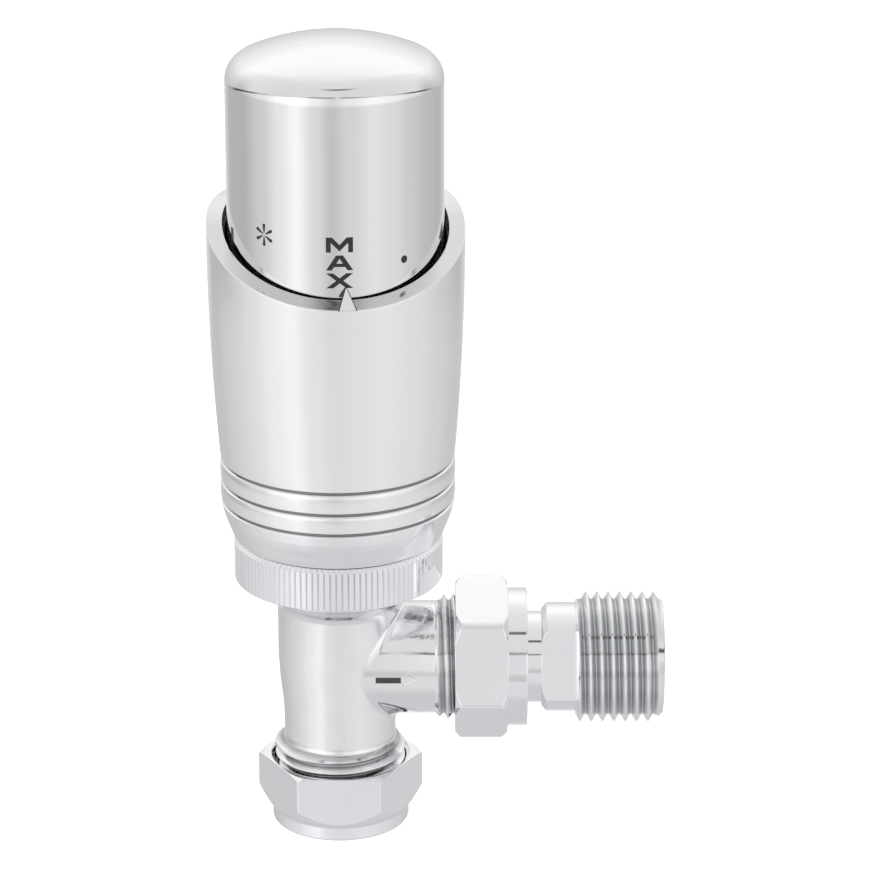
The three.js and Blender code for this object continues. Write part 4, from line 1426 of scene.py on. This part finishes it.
@dataclass
class Housing:
    """The white plastic base of the head, and the ring that keeps the knob on it."""

    post_angles: tuple[float, float] = (0.0, 180.0)
    lug_centre: float = 21.5
    lug_span: float = 20.0

    def build(self) -> None:
        """Makes the two pieces."""
        shell = turned("head_housing_moulded", outline(
            (9.0, 44.95, 0.1), (14.7, 44.95, 0.2), (14.7, 46.3, 0.2), (12.95, 46.3, 0.1),
            (12.95, 49.1, 0.1), (14.8, 49.1, 0.2), (14.8, 50.9, 0.3), (16.2, 53.7, 0.3),
            (16.2, 65.6, 0.2), (14.4, 65.6, 0.2), (14.4, 62.35, 0.1), (15.25, 62.35, 0.1),
            (15.25, 61.05, 0.1), (14.4, 61.05, 0.1), (14.4, 51.5, 0.3), (9.0, 51.5, 0.2),
        ), True, 128)
        for angle in self.post_angles:
            combine(shell, block("post", (9.6, 11.3), 4.0, (51.2, 66.0), angle), Operation.ADD)
        stop = sector("stop", (14.5, 15.9), self.lug_centre, self.lug_span, (65.3, 67.6))
        combine(shell, stop, Operation.ADD)
        finish_piece(shell, "valve", WHITE_PLASTIC, ["head_housing"])
        ring = turned("knob_retaining_wire", ring_corners(13.35, 15.1, 61.2, 62.2, 0.4), True, 128)
        finish_piece(ring, "valve", STEEL, ["knob_retaining_ring"])


def block(
    name: str, radial: tuple[float, float], width: float, heights: tuple[float, float], angle: float
) -> bpy.types.Object:
    """A box that stands at an angle round the upright axis.

    Args:
        name: The object's name.
        radial: Its nearest and furthest distance from the axis.
        width: Its width across that direction.
        heights: Its bottom and top.
        angle: Its direction from +X in degrees.

    Returns:
        A closed solid.
    """
    across = (-width / 2, width / 2)
    corners = np.array([(r, w, z) for z in heights for w in across for r in radial])
    a = math.radians(angle)
    turn = np.array([[math.cos(a), math.sin(a), 0], [-math.sin(a), math.cos(a), 0], [0, 0, 1]])
    faces = [(0, 2, 3, 1), (4, 5, 7, 6), (0, 1, 5, 4), (2, 6, 7, 3), (0, 4, 6, 2), (1, 3, 7, 5)]
    return new_object(name, corners @ turn, faces)


def sector(
    name: str, radial: tuple[float, float], centre: float, span: float, heights: tuple[float, float]
) -> bpy.types.Object:
    """A lug shaped like a piece of a ring.

    Args:
        name: The object's name.
        radial: Its inner and outer radius.
        centre: The angle of its middle in degrees.
        span: The angle that it covers.
        heights: Its bottom and top.

    Returns:
        A closed solid.
    """
    steps = 9
    sweep = np.radians(centre + span * np.linspace(-0.5, 0.5, steps))
    loop_radius = np.array([radial[0], radial[1], radial[1], radial[0]])
    loop_height = np.array([heights[0], heights[0], heights[1], heights[1]])
    grid = np.stack([
        loop_radius[None, :] * np.cos(sweep)[:, None],
        loop_radius[None, :] * np.sin(sweep)[:, None],
        np.broadcast_to(loop_height, (steps, 4)),
    ], axis=-1)
    number = np.arange(steps * 4).reshape(steps, 4)
    faces = [
        [number[i, j], number[i + 1, j], number[i + 1, (j + 1) % 4], number[i, (j + 1) % 4]]
        for i in range(steps - 1)
        for j in range(4)
    ]
    faces += [number[0].tolist(), number[-1, ::-1].tolist()]
    return new_object(name, grid.reshape(-1, 3), [[int(v) for v in face] for face in faces])


@dataclass
class Sleeve:
    """The tapered outer shell with a slanted rim, its black liner and its pointer."""

    mouth: float = 15.3
    bottom_radius: float = 16.55
    grooves: tuple[float, float, float] = (55.5, 58.8, 62.3)
    ring: float = 18.42
    groove_depth: float = 0.42
    wall_bottom: float = 63.2
    widest: float = 20.05
    widest_height: float = 100.0
    taper: float = 0.00113
    bore: float = 17.5
    rebate: float = 18.3
    rebate_depth: float = 1.2
    rim_height: float = 100.3
    rim_slope: float = 0.39
    rim_back: float = 102.7
    rim_blend: float = 2.2
    rim_turn: float = 6.4
    columns: int = 192

    def wall_radius(self, height: Number) -> Number:
        """The outer radius: the widest less the taper times the squared height below the widest."""
        return self.widest - self.taper * np.maximum(self.widest_height - height, 0) ** 2

    def rim(self, radius: Number, turn: Array, lowered: float = 0.0) -> Array:
        """The rim's height at a radius: the lower of a slanted plane and a level one, blended.

        Where the planes are less than the blend apart, the height is lowered by the square of
        what is missing over four times the blend, which joins them without an edge.

        Args:
            radius: The distance from the axis.
            turn: The columns' angles.
            lowered: A distance below both planes, at right angles to them.

        Returns:
            One height for each column.
        """
        tilt = math.hypot(1, self.rim_slope)
        lowest = math.radians(270 + self.rim_turn)
        slanted = self.rim_height - self.rim_slope * radius * np.cos(turn - lowest) - lowered * tilt
        level = self.rim_back - lowered
        near = np.maximum(self.rim_blend - np.abs(slanted - level), 0)
        return np.minimum(slanted, level) - near**2 / (4 * self.rim_blend)

    def skirt(self) -> list[Corner]:
        """The foot of the sleeve: two shallow cones with a convex part above them.

        Returns:
            Corners from the foot's inner edge up to the rings.
        """
        bottom = Extent.of("sleeve").bottom
        return outline(
            (self.bottom_radius - 0.25, bottom, 0.05), (self.bottom_radius, bottom + 0.1, 0.1),
            (16.9, 50.2, 0.3), (17.33, 51.4, 0.1), (17.75, 52.45, 0.4), (18.1, 53.6, 0.1),
            (18.3, 54.5, 0.3), (self.ring, 55.05, 0.1),
        )

    def rings(self) -> list[Corner]:
        """Three sharp grooves with two slightly bulging rings between them.

        Returns:
            Corners from below upwards.
        """
        made = []
        for index, groove in enumerate(self.grooves):
            made += outline(
                (self.ring, groove - 0.36, 0.08), (self.ring - self.groove_depth, groove - 0.08, 0.05),
                (self.ring - self.groove_depth, groove + 0.08, 0.05), (self.ring, groove + 0.36, 0.08),
            )
            if index < len(self.grooves) - 1:
                middle = (groove + self.grooves[index + 1]) / 2
                made += outline(
                    (self.ring + 0.09, middle - 0.75, 0.3), (self.ring + 0.1, middle + 0.2, 0.05),
                    (self.ring + 0.09, middle + 0.8, 0.3),
                )
        return made

    def shell(self) -> bpy.types.Object:
        """The sleeve.

        Rows up the wall divide the height between the rings and the slanted rim evenly in each
        column, so the last row lies on the rim plane.

        Returns:
            A closed ring.
        """
        turn = angles(self.columns)
        top = self.rim(self.widest, turn)
        share = np.linspace(0, 1, 24)[1:-1]
        heights = [self.wall_bottom + (top - self.wall_bottom) * s for s in share]
        wall = [Corner(self.wall_radius(z), z) for z in heights]
        corners = [
            *self.skirt(),
            *self.rings(),
            Corner(self.wall_radius(self.wall_bottom), self.wall_bottom, 0.1),
            *wall,
            *outline(
                (self.widest, top, 0.22), (self.bore, self.rim(self.bore, turn), 0.15),
                (self.bore, self.rim(self.bore, turn, self.rebate_depth), 0.1),
                (self.rebate, self.rim(self.rebate, turn, self.rebate_depth), 0.1),
                (self.rebate, 71.7, 0.1), (self.bore, 71.7, 0.1), (self.bore, 67.5, 0.2),
                (16.7, 66.0, 0.2), (16.7, 53.2, 0.2), (self.mouth, 50.6, 0.2),
                (self.mouth, Extent.of("sleeve").bottom, 0.2),
            ),
        ]
        return turned("sleeve_plated", corners, True, turn)

    def liner(self) -> bpy.types.Object:
        """The black ring in the rebate, its top parallel to the rim.

        Returns:
            A closed ring.
        """
        turn = angles(self.columns)
        inner, outer, depth = 17.12, 18.0, 1.45
        return turned("black_liner_moulded", outline(
            (inner, 72.0, 0.1), (outer, 72.0, 0.1), (outer, self.rim(outer, turn, depth), 0.1),
            (inner, self.rim(inner, turn, depth), 0.12),
        ), True, turn)

    def pointer(self, name: str, grow: float, lower: float) -> bpy.types.Object:
        """The wedge on the rim that points at the dial.

        It is a triangle in plan. Its base lies at the rim's outer edge and its tip stands up
        beside the knob.

        Args:
            name: The object's name.
            grow: How much wider it is on each side.
            lower: How much lower its upper face is.

        Returns:
            A closed solid that is sunk a little into the rim.
        """
        half, rise, tail_rise, sunk = 1.25 + grow, 1.8 - lower, 0.15 - lower, 0.3
        tail, tip = self.widest - 0.12, 17.25 - grow
        flat = np.array([[-half, -tail], [half, -tail], [0, -tip]])
        lift = np.array([tail_rise, tail_rise, rise])
        plan = np.concatenate([flat, flat])
        height = np.concatenate([np.full(3, -sunk), lift])
        turn = math.radians(self.rim_turn)
        x = plan[:, 0] * math.cos(turn) - plan[:, 1] * math.sin(turn)
        y = plan[:, 0] * math.sin(turn) + plan[:, 1] * math.cos(turn)
        points = np.column_stack([x, y, self.rim_height + self.rim_slope * plan[:, 1] + height])
        faces = [(0, 2, 1), (3, 4, 5), (0, 1, 4, 3), (1, 2, 5, 4), (2, 0, 3, 5)]
        made = new_object(name, points, faces)
        bevel = made.modifiers.new("edges", "BEVEL")
        bevel.width, bevel.segments = 0.04 * MM, 2
        return made

    def build(self) -> None:
        """Makes the shell, its liner, and the pointer in its dark seat."""
        shell = self.shell()
        # Painted shade in the three grooves.
        stretch = (self.grooves[0] - 0.5, self.grooves[-1] + 0.5)
        painted_shade(shell, Axis.UPRIGHT, (self.ring - self.groove_depth, self.ring), stretch)
        # Painted shade: the rim's top face and its rounded outer edge are darkened by half a mark.
        points = read_points(shell.data) / MM
        radius, turn = np.hypot(points[:, 0], points[:, 1]), np.arctan2(points[:, 1], points[:, 0])
        below = self.rim(radius, turn) - points[:, 2]
        mark_painted_shade(shell, 0.5 * np.clip(1 - np.abs(below) / 0.12, 0, 1) * (radius > self.bore))
        finish_piece(shell, "valve", SLEEVE_CHROME, ["sleeve"])
        finish_piece(self.liner(), "valve", BLACK_PLASTIC, ["black_liner"])
        finish_piece(self.pointer("pointer_plated", 0.0, 0.0), "valve", MIRROR_CHROME, ["pointer"])
        finish_piece(self.pointer("pointer_seat", 0.22, 0.12), "valve", BLACK_PLASTIC)


# ---- Head: knob and sensor --------------------------------------------------------------------


# Plain block letters as outlines in a square of side 1 round the origin.
BLOCK_LETTERS = {
    "M": [[(-0.5, -0.5), (-0.5, 0.5), (-0.27, 0.5), (0, 0.0), (0.27, 0.5), (0.5, 0.5), (0.5, -0.5),
           (0.32, -0.5), (0.32, 0.14), (0, -0.42), (-0.32, 0.14), (-0.32, -0.5)]],
    "A": [[(-0.5, -0.5), (-0.13, 0.5), (0.13, 0.5), (0.5, -0.5), (0.29, -0.5), (0.2, -0.27),
           (-0.2, -0.27), (-0.29, -0.5)],
          [(-0.12, -0.05), (0.12, -0.05), (0, 0.28)]],
    "X": [[(-0.5, 0.5), (-0.24, 0.5), (0, 0.17), (0.24, 0.5), (0.5, 0.5), (0.13, 0), (0.5, -0.5),
           (0.24, -0.5), (0, -0.17), (-0.24, -0.5), (-0.5, -0.5), (-0.13, 0)]],
}


@dataclass(frozen=True)
class Mark:
    """One mark on the dial: what it shows, its angle from the front, height and size."""

    sign: str
    angle: float
    height: float
    size: tuple[float, float]


class Shape(Enum):
    """Marks that aren't characters."""

    FROST = "frost"
    DOT = "dot"


@dataclass
class Knob:
    """The chromed cap with its dial marks, and the plastic core inside it."""

    wall: float = 1.2
    edge: float = 4.2
    dome: float = 36.0
    letter: tuple[float, float] = (4.1, 2.35)
    digit: tuple[float, float] = (2.1, 3.1)
    one_width: float = 1.05
    digit_height: float = 99.8
    dot_height: float = 98.5
    mark_depth: float = 0.03
    marks: list[Mark] = field(default_factory=list)

    def __post_init__(self) -> None:
        """Lays out the dial: MAX at the front, numbers and half-way dots round it, frost last."""
        for row, sign in enumerate("MAX"):
            self.marks.append(Mark(sign, 3.3, 101.92 - 2.82 * row, self.letter))
        for step, sign in enumerate("4321"):
            width = self.one_width if sign == "1" else self.digit[0]
            size = (width, self.digit[1])
            self.marks.append(Mark(sign, 72.0 * (step + 1) + 3.3, self.digit_height, size))
            self.marks.append(Mark(Shape.DOT.value, 72.0 * step + 39.3, self.dot_height, (1.15, 1.2)))
        self.marks.append(Mark(Shape.FROST.value, -38.6, 102.4, (3.5, 3.5)))

    def profile(self, inset: float) -> list[Corner]:
        """The outline of the cap's top: straight wall, rounded edge, low dome.

        The edge is an arc that meets both the wall and the dome without a break, so its centre
        lies one edge radius inside each of them.

        Args:
            inset: How far the skin lies inside the outer surface.

        Returns:
            Corners from the wall to the axis.
        """
        box = Extent.of("knob_shell")
        dome_centre = box.top - self.dome
        centre = box.radius - self.edge
        centre_z = dome_centre + math.sqrt((self.dome - self.edge) ** 2 - centre**2)
        meet = math.asin(centre / (self.dome - self.edge))
        turn = np.linspace(0, math.pi / 2 - meet, 15)
        lean = np.linspace(meet, 0, 14)[1:]
        edge, dome = self.edge - inset, self.dome - inset
        radii = np.concatenate([centre + edge * np.cos(turn), dome * np.sin(lean)])
        heights = np.concatenate([centre_z + edge * np.sin(turn), dome_centre + dome * np.cos(lean)])
        return outline(*zip(radii, heights))

    def shell(self) -> bpy.types.Object:
        """The cap, a shell that is open below.

        Returns:
            A closed solid.
        """
        box = Extent.of("knob_shell")
        corners = [
            *self.profile(self.wall)[::-1],
            Corner(box.radius - self.wall, box.bottom, 0.2),
            Corner(box.radius, box.bottom, 0.2),
            *self.profile(0),
        ]
        return turned("knob_cap_plated", corners, False, 192)

    def core(self) -> bpy.types.Object:
        """The plastic core: neck, retaining groove, flange, tube and stop lug.

        Returns:
            A closed ring.
        """
        box = Extent.of("knob_core")
        core = turned("knob_core_moulded", outline(
            (12.6, box.bottom, 0.2), (14.1, box.bottom, 0.2), (14.1, 61.05, 0.1), (13.2, 61.05, 0.1),
            (13.2, 62.35, 0.1), (14.1, 62.35, 0.1), (14.1, 68.4, 0.1), (15.3, 68.4, 0.2),
            (15.3, 120.8, 0.3), (13.7, box.top, 0.2), (12.6, box.top, 0.1), (14.0, 120.8, 0.2),
            (14.0, 72.0, 0.2), (12.6, 72.0, 0.2),
        ), True, 128)
        combine(core, sector("stop", (14.5, 15.15), 0, 17, (66.2, 68.7)), Operation.ADD)
        return core

    def mark_mesh(self, mark: Mark) -> bpy.types.Mesh:
        """Makes the flat shape of one mark.

        Args:
            mark: The mark.

        Returns:
            A mesh as flat_shape makes it.
        """
        width, height = mark.size
        if mark.sign == Shape.DOT.value:
            around = angles(24)[:-1]
            return flat_shape("dot", [np.column_stack([np.cos(around) * width, np.sin(around) * height]) / 2])
        if mark.sign == Shape.FROST.value:
            arms = [self.frost_arm(width / 2, math.radians(a)) for a in range(30, 390, 60)]
            return flat_shape("frost", arms)
        if mark.sign in BLOCK_LETTERS:
            return flat_shape("letter", [np.array(o) * (width, height) for o in BLOCK_LETTERS[mark.sign]])
        return letter_shape(mark.sign, width, height, 0.02)

    @staticmethod
    def frost_arm(length: float, direction: float) -> Array:
        """One arm of the frost sign: a drop that is narrow at the middle and round at its end.

        Args:
            length: The arm's reach from the sign's middle.
            direction: Its angle in radians.

        Returns:
            The arm's outline.
        """
        start, half, tip = 0.16 * length, 0.15 * length, 0.035 * length
        bend = np.linspace(-math.pi / 2, math.pi / 2, 9)
        end = np.column_stack([length - half + half * np.cos(bend), half * np.sin(bend)])
        drop = np.concatenate([[[start, tip]], [[start, -tip]], end])
        c, s = math.cos(direction), math.sin(direction)
        return drop @ np.array([[c, s], [-s, c]])

    def build(self) -> None:
        """Makes the cap, the core and every mark."""
        radius = Extent.of("knob_shell").radius
        finish_piece(self.shell(), "knob", MIRROR_CHROME, ["knob_shell"])
        finish_piece(self.core(), "knob", WHITE_PLASTIC, ["knob_core"])
        for index, mark in enumerate(self.marks):
            place = Wrap(
                Axis.UPRIGHT, radius - self.mark_depth, radius + self.mark_depth, mark.angle - 90, mark.height
            )
            piece = place.lay(f"dial_mark_{index + 1}", self.mark_mesh(mark))
            finish_piece(piece, "knob", DIAL_BLACK)


@dataclass
class Sensor:
    """The threaded carrier with the capsule, the plunger, the overload spring and its cap."""

    slot_angles: tuple[float, float] = (0.0, 180.0)
    window_angles: tuple[float, float, float] = (90.0, 210.0, 330.0)

    def carrier(self) -> bpy.types.Object:
        """The carrier: a block with two guide slots below a cage with three windows.

        Returns:
            A closed ring.
        """
        box = Extent.of("sensor_carrier")
        carrier = turned("sensor_carrier_moulded", outline(
            (8.9, box.bottom, 0.2), (12.25, box.bottom, 0.3), (12.25, 72.0, 0.3), (11.6, 72.0, 0.1),
            (11.6, box.top, 0.2), (10.3, box.top, 0.2), (10.3, 72.0, 0.2), (8.9, 72.0, 0.2),
        ), True, 128)
        for angle in self.slot_angles:
            combine(carrier, block("slot", (9.3, 11.6), 4.6, (56.0, 69.4), angle), Operation.CUT)
        for angle in self.window_angles:
            combine(carrier, block("window", (8.0, 14.0), 9.0, (78.0, 104.0), angle), Operation.CUT)
        return carrier

    def build(self) -> None:
        """Makes the five pieces."""
        finish_piece(self.carrier(), "sensor", WHITE_PLASTIC, ["sensor_carrier"])
        box = Extent.of("sensor_capsule")
        capsule = turned("sensor_capsule_drawn", outline(
            (0, box.bottom), (8.4, box.bottom, 0.4), (9.9, box.bottom + 1.5, 0.9), (9.9, 88.0, 0.2),
            (9.6, 88.5, 0.2), (9.6, 89.3, 0.2), (9.9, 89.8, 0.2), (9.9, box.top - 1.5, 0.9),
            (8.4, box.top, 0.4), (0, box.top),
        ), False)
        finish_piece(capsule, "sensor", CAPSULE_METAL, ["sensor_capsule"])
        box = Extent.of("sensor_plunger")
        plunger = turned("sensor_plunger_moulded", outline(
            (0, box.bottom), (3, box.bottom, 0.3), (3, 71.4, 0.4), (7, 71.4, 0.2), (7, box.top, 0.2),
            (0, box.top),
        ), False)
        finish_piece(plunger, "sensor", WHITE_PLASTIC, ["sensor_plunger"])
        coil = spring_object("overload_spring_coil", 7.6, 0.78, 109.3, 118.3, 5)
        finish_piece(coil, "sensor", STEEL, ["overload_spring"])
        box = Extent.of("spring_cap")
        cap = turned("spring_cap_moulded", bar_corners(10.0, box.bottom, box.top, 0.35), False)
        finish_piece(cap, "sensor", WHITE_PLASTIC, ["spring_cap"])


# ---- Studio -----------------------------------------------------------------------------------


# Brightness of the tent's wall at the head and lower down, and of the gap over the wall, by the
# angle round the valve in degrees: 0 at the front, growing towards the arm.
HEAD_WALL = (
    (-180, 1.05), (-162, 0.72), (-140, 0.50), (-112, 0.49), (-80, 0.68), (-58, 0.88), (-40, 1.04),
    (-20, 0.78), (-2, 0.60), (16, 0.72), (42, 0.84), (64, 0.78), (88, 0.66), (112, 0.56),
    (140, 0.50), (162, 0.66), (180, 1.05),
)
LOW_WALL = (
    (-180, 0.9), (-160, 0.56), (-138, 0.57), (-120, 0.63), (-100, 0.70), (-80, 0.78), (-60, 0.89),
    (-40, 0.97), (-22, 0.82), (0, 0.76), (20, 0.79), (42, 0.82), (80, 0.76), (110, 0.68),
    (140, 0.6), (160, 0.58), (180, 0.9),
)
GAP = (
    (-180, 0.9), (-135, 0.4), (-118, 0.05), (-95, 0.12), (-78, 0.5), (-60, 0.75), (-35, 0.75),
    (-18, 0.15), (0, 0.16), (1.4, 0.16), (2.2, 0.74), (6.6, 0.74), (7.6, 0.14), (14, 0.12),
    (35, 0.5), (55, 0.8), (72, 0.5), (88, 0.1), (105, 0.1), (125, 0.5), (180, 0.9),
)
COOL = (1.0, 1.0, 1.01)
COOLER = (1.0, 1.0, 1.015)
WARM = (1.0, 0.99, 0.98)

# Colours of the roof from front to back, and how much is left of them low down at the back.
ROOF = (
    (0.0, (0.77, 0.775, 0.775)), (0.4, (0.80, 0.805, 0.805)), (0.62, (0.86, 0.865, 0.865)),
    (0.78, (0.92, 0.925, 0.925)), (0.86, (1.03, 1.03, 1.03)), (0.97, (1.08, 1.08, 1.08)),
)
LOW_SKY = (
    (0.0, (0.5, 0.5, 0.5)), (0.22, (0.6, 0.6, 0.6)), (0.5, (0.71, 0.71, 0.71)),
    (0.62, (0.8, 0.8, 0.8)), (0.78, (0.89, 0.89, 0.89)), (0.95, (1.0, 1.0, 1.0)),
)


@dataclass
class Studio:
    """The camera, the pale floor and the light tent round the valve.

    The tent's sizes are parts of a direction of length 1: its height, or the distance across.
    """

    distance: float = 0.6284
    elevation: float = 20.3
    lens: float = 165.3
    aim_shift: tuple[float, float, float] = (-0.00045, 0.0, 0.0003)
    floor_size: float = 6.0
    low_wall_end: tuple[float, float] = (-0.35, -0.31)
    ground_end: tuple[float, float] = (-0.9, -0.62)
    ground: tuple[float, float, float] = (0.64, 0.64, 0.655)
    level_start: tuple[float, float] = (-0.22, -0.06)
    level_gain: float = 1.26
    gap_plane: tuple[float, float, float] = (0.386, 0.9225, 0.085)
    gap_width: tuple[float, float] = (0.02, 0.045)
    batten_height: tuple[float, float, float] = (0.875, 0.018, 0.03)
    batten_across: tuple[float, float, float] = (0.06, 0.03, 0.32)
    batten_grey: float = 0.13

    def camera(self) -> None:
        """Puts the camera in front of the valve, looking down at the middle of its box."""
        low, high = CAD_BOX
        aim = (low + high) / 2 + Vector(self.aim_shift)
        lift = math.radians(self.elevation)
        back = Vector((0, -math.cos(lift), math.sin(lift)))
        data = bpy.data.cameras.new("camera")
        data.lens = self.lens
        data.sensor_width = 36.0
        data.clip_start, data.clip_end = 0.01, 50.0
        camera = linked("camera", data)
        camera.location = aim + back * self.distance
        camera.rotation_euler = (math.radians(90 - self.elevation), 0, 0)
        bpy.context.scene.camera = camera

    def floor(self) -> None:
        """Lays the floor just under the valve. Polished metal doesn't mirror it."""
        half = self.floor_size / 2 / MM
        points = np.array([[-half, -half, 0], [half, -half, 0], [half, half, 0], [-half, half, 0]], float)
        floor = new_object("floor", points, [(0, 1, 2, 3)])
        made = bpy.data.materials.new("pale_floor")
        made.use_nodes = True
        nodes = Nodes(made.node_tree)
        shader = nodes.add("ShaderNodeBsdfPrincipled")
        shader.inputs["Base Color"].default_value = (0.9, 0.9, 0.9, 1)
        shader.inputs["Roughness"].default_value = 0.9
        shader.inputs["Specular IOR Level"].default_value = 0.0
        shader.inputs["Emission Color"].default_value = (1, 1, 1, 1)
        shader.inputs["Emission Strength"].default_value = 0.55
        nodes.link(shader.outputs[0], nodes.add("ShaderNodeOutputMaterial").inputs["Surface"])
        floor.data.materials.append(made)
        floor.visible_glossy = False

    def light_tent(self) -> None:
        """Surrounds the valve with a light tent.

        The tent's wall changes its brightness with the direction round the valve, as the sheets
        of a real tent do. It has one pattern for the head and a brighter one further down, and
        it brightens towards level. The wall ends at a narrow dark gap that leans up over the
        front, and the roof, which is brighter towards the back, begins behind it. A short dark
        batten hangs high over the front.
        """
        world = bpy.data.worlds.new("light_tent")
        bpy.context.scene.world = world
        world.use_nodes = True
        nodes = Nodes(world.node_tree)
        x, y, z = nodes.split(nodes.add("ShaderNodeTexCoord").outputs["Generated"])
        turn = nodes.math("ARCTAN2", x, nodes.math("MULTIPLY", y, -1))
        share = nodes.math("ADD", nodes.math("MULTIPLY", turn, 1 / (2 * math.pi)), 0.5)
        head, low, dark = (
            nodes.ramp(share, [(0.5 + angle / 360, tuple(b * t for t in tint)) for angle, b in stops])
            for stops, tint in ((HEAD_WALL, COOL), (LOW_WALL, COOLER), (GAP, WARM))
        )
        wall = nodes.mix(nodes.between(z, *self.low_wall_end, 0, 1), low, head)
        wall = nodes.mix(nodes.between(z, *self.ground_end, 0, 1), self.ground, wall)
        level = nodes.mix(1.0, wall, (self.level_gain,) * 3, "MULTIPLY")
        wall = nodes.mix(nodes.between(z, *self.level_start, 0, 1), wall, level)
        roof = nodes.ramp(nodes.between_straight(y, -0.5, 0.75), ROOF)
        behind = nodes.mix(1.0, roof, nodes.ramp(nodes.between_straight(z, -0.3, 0.6), LOW_SKY), "MULTIPLY")
        roof = nodes.mix(nodes.between(y, 0.05, 0.35, 0, 1), roof, behind)
        across, up, offset = self.gap_plane
        lean = nodes.math("ADD", nodes.math("MULTIPLY", y, across), nodes.math("MULTIPLY", z, up))
        lean = nodes.math("SUBTRACT", lean, offset)
        open_sky = nodes.between(z, -0.25, -0.19, 0, 1)
        tent = nodes.mix(nodes.product(nodes.between(lean, -0.01, 0.01, 0, 1), open_sky), wall, roof)
        tent = nodes.mix(nodes.product(nodes.band(lean, 0.0, *self.gap_width), open_sky), tent, dark)
        batten = nodes.product(
            nodes.band(z, *self.batten_height),
            nodes.product(nodes.band(x, *self.batten_across), nodes.between(y, -0.1, 0.0, 1, 0)),
        )
        tent = nodes.mix(batten, tent, (self.batten_grey,) * 3)
        seen = nodes.mix(nodes.add("ShaderNodeLightPath").outputs["Is Camera Ray"], tent, (1.0, 1.0, 1.0))
        background = nodes.add("ShaderNodeBackground")
        nodes.link(seen, background.inputs["Color"])
        nodes.link(background.outputs[0], nodes.add("ShaderNodeOutputWorld").inputs["Surface"])

    def lamp(self) -> None:
        """Adds a large soft lamp above the front, for the dull pieces."""
        data = bpy.data.lights.new("soft_lamp", "AREA")
        data.energy = 4.0
        data.size = 0.8
        lamp = linked("soft_lamp", data)
        lamp.location = (-0.5, -0.7, 1.0)
        aim = Vector((0, 0, 0.07)) - Vector(lamp.location)
        lamp.rotation_euler = aim.to_track_quat("-Z", "Y").to_euler()
        lamp.visible_glossy = False

    def build(self) -> None:
        """Makes the whole stage."""
        self.camera()
        self.floor()
        self.light_tent()
        self.lamp()
        bpy.context.scene.view_settings.view_transform = "Standard"


# ---- Assembly ---------------------------------------------------------------------------------


def main() -> None:
    """Builds the stage and every sub-assembly in order."""
    logging.basicConfig(level=logging.INFO, format="%(name)s: %(message)s")
    for part in (
        Studio(), ValveBody(), PipeJoint(), UnionJoint(), ValveInsert(), Spindle(), HeadRing(),
        Housing(), Sleeve(), Knob(), Sensor(),
    ):
        part.build()
        LOG.info("%s is done", type(part).__name__)


if __name__ == "__main__":
    main()
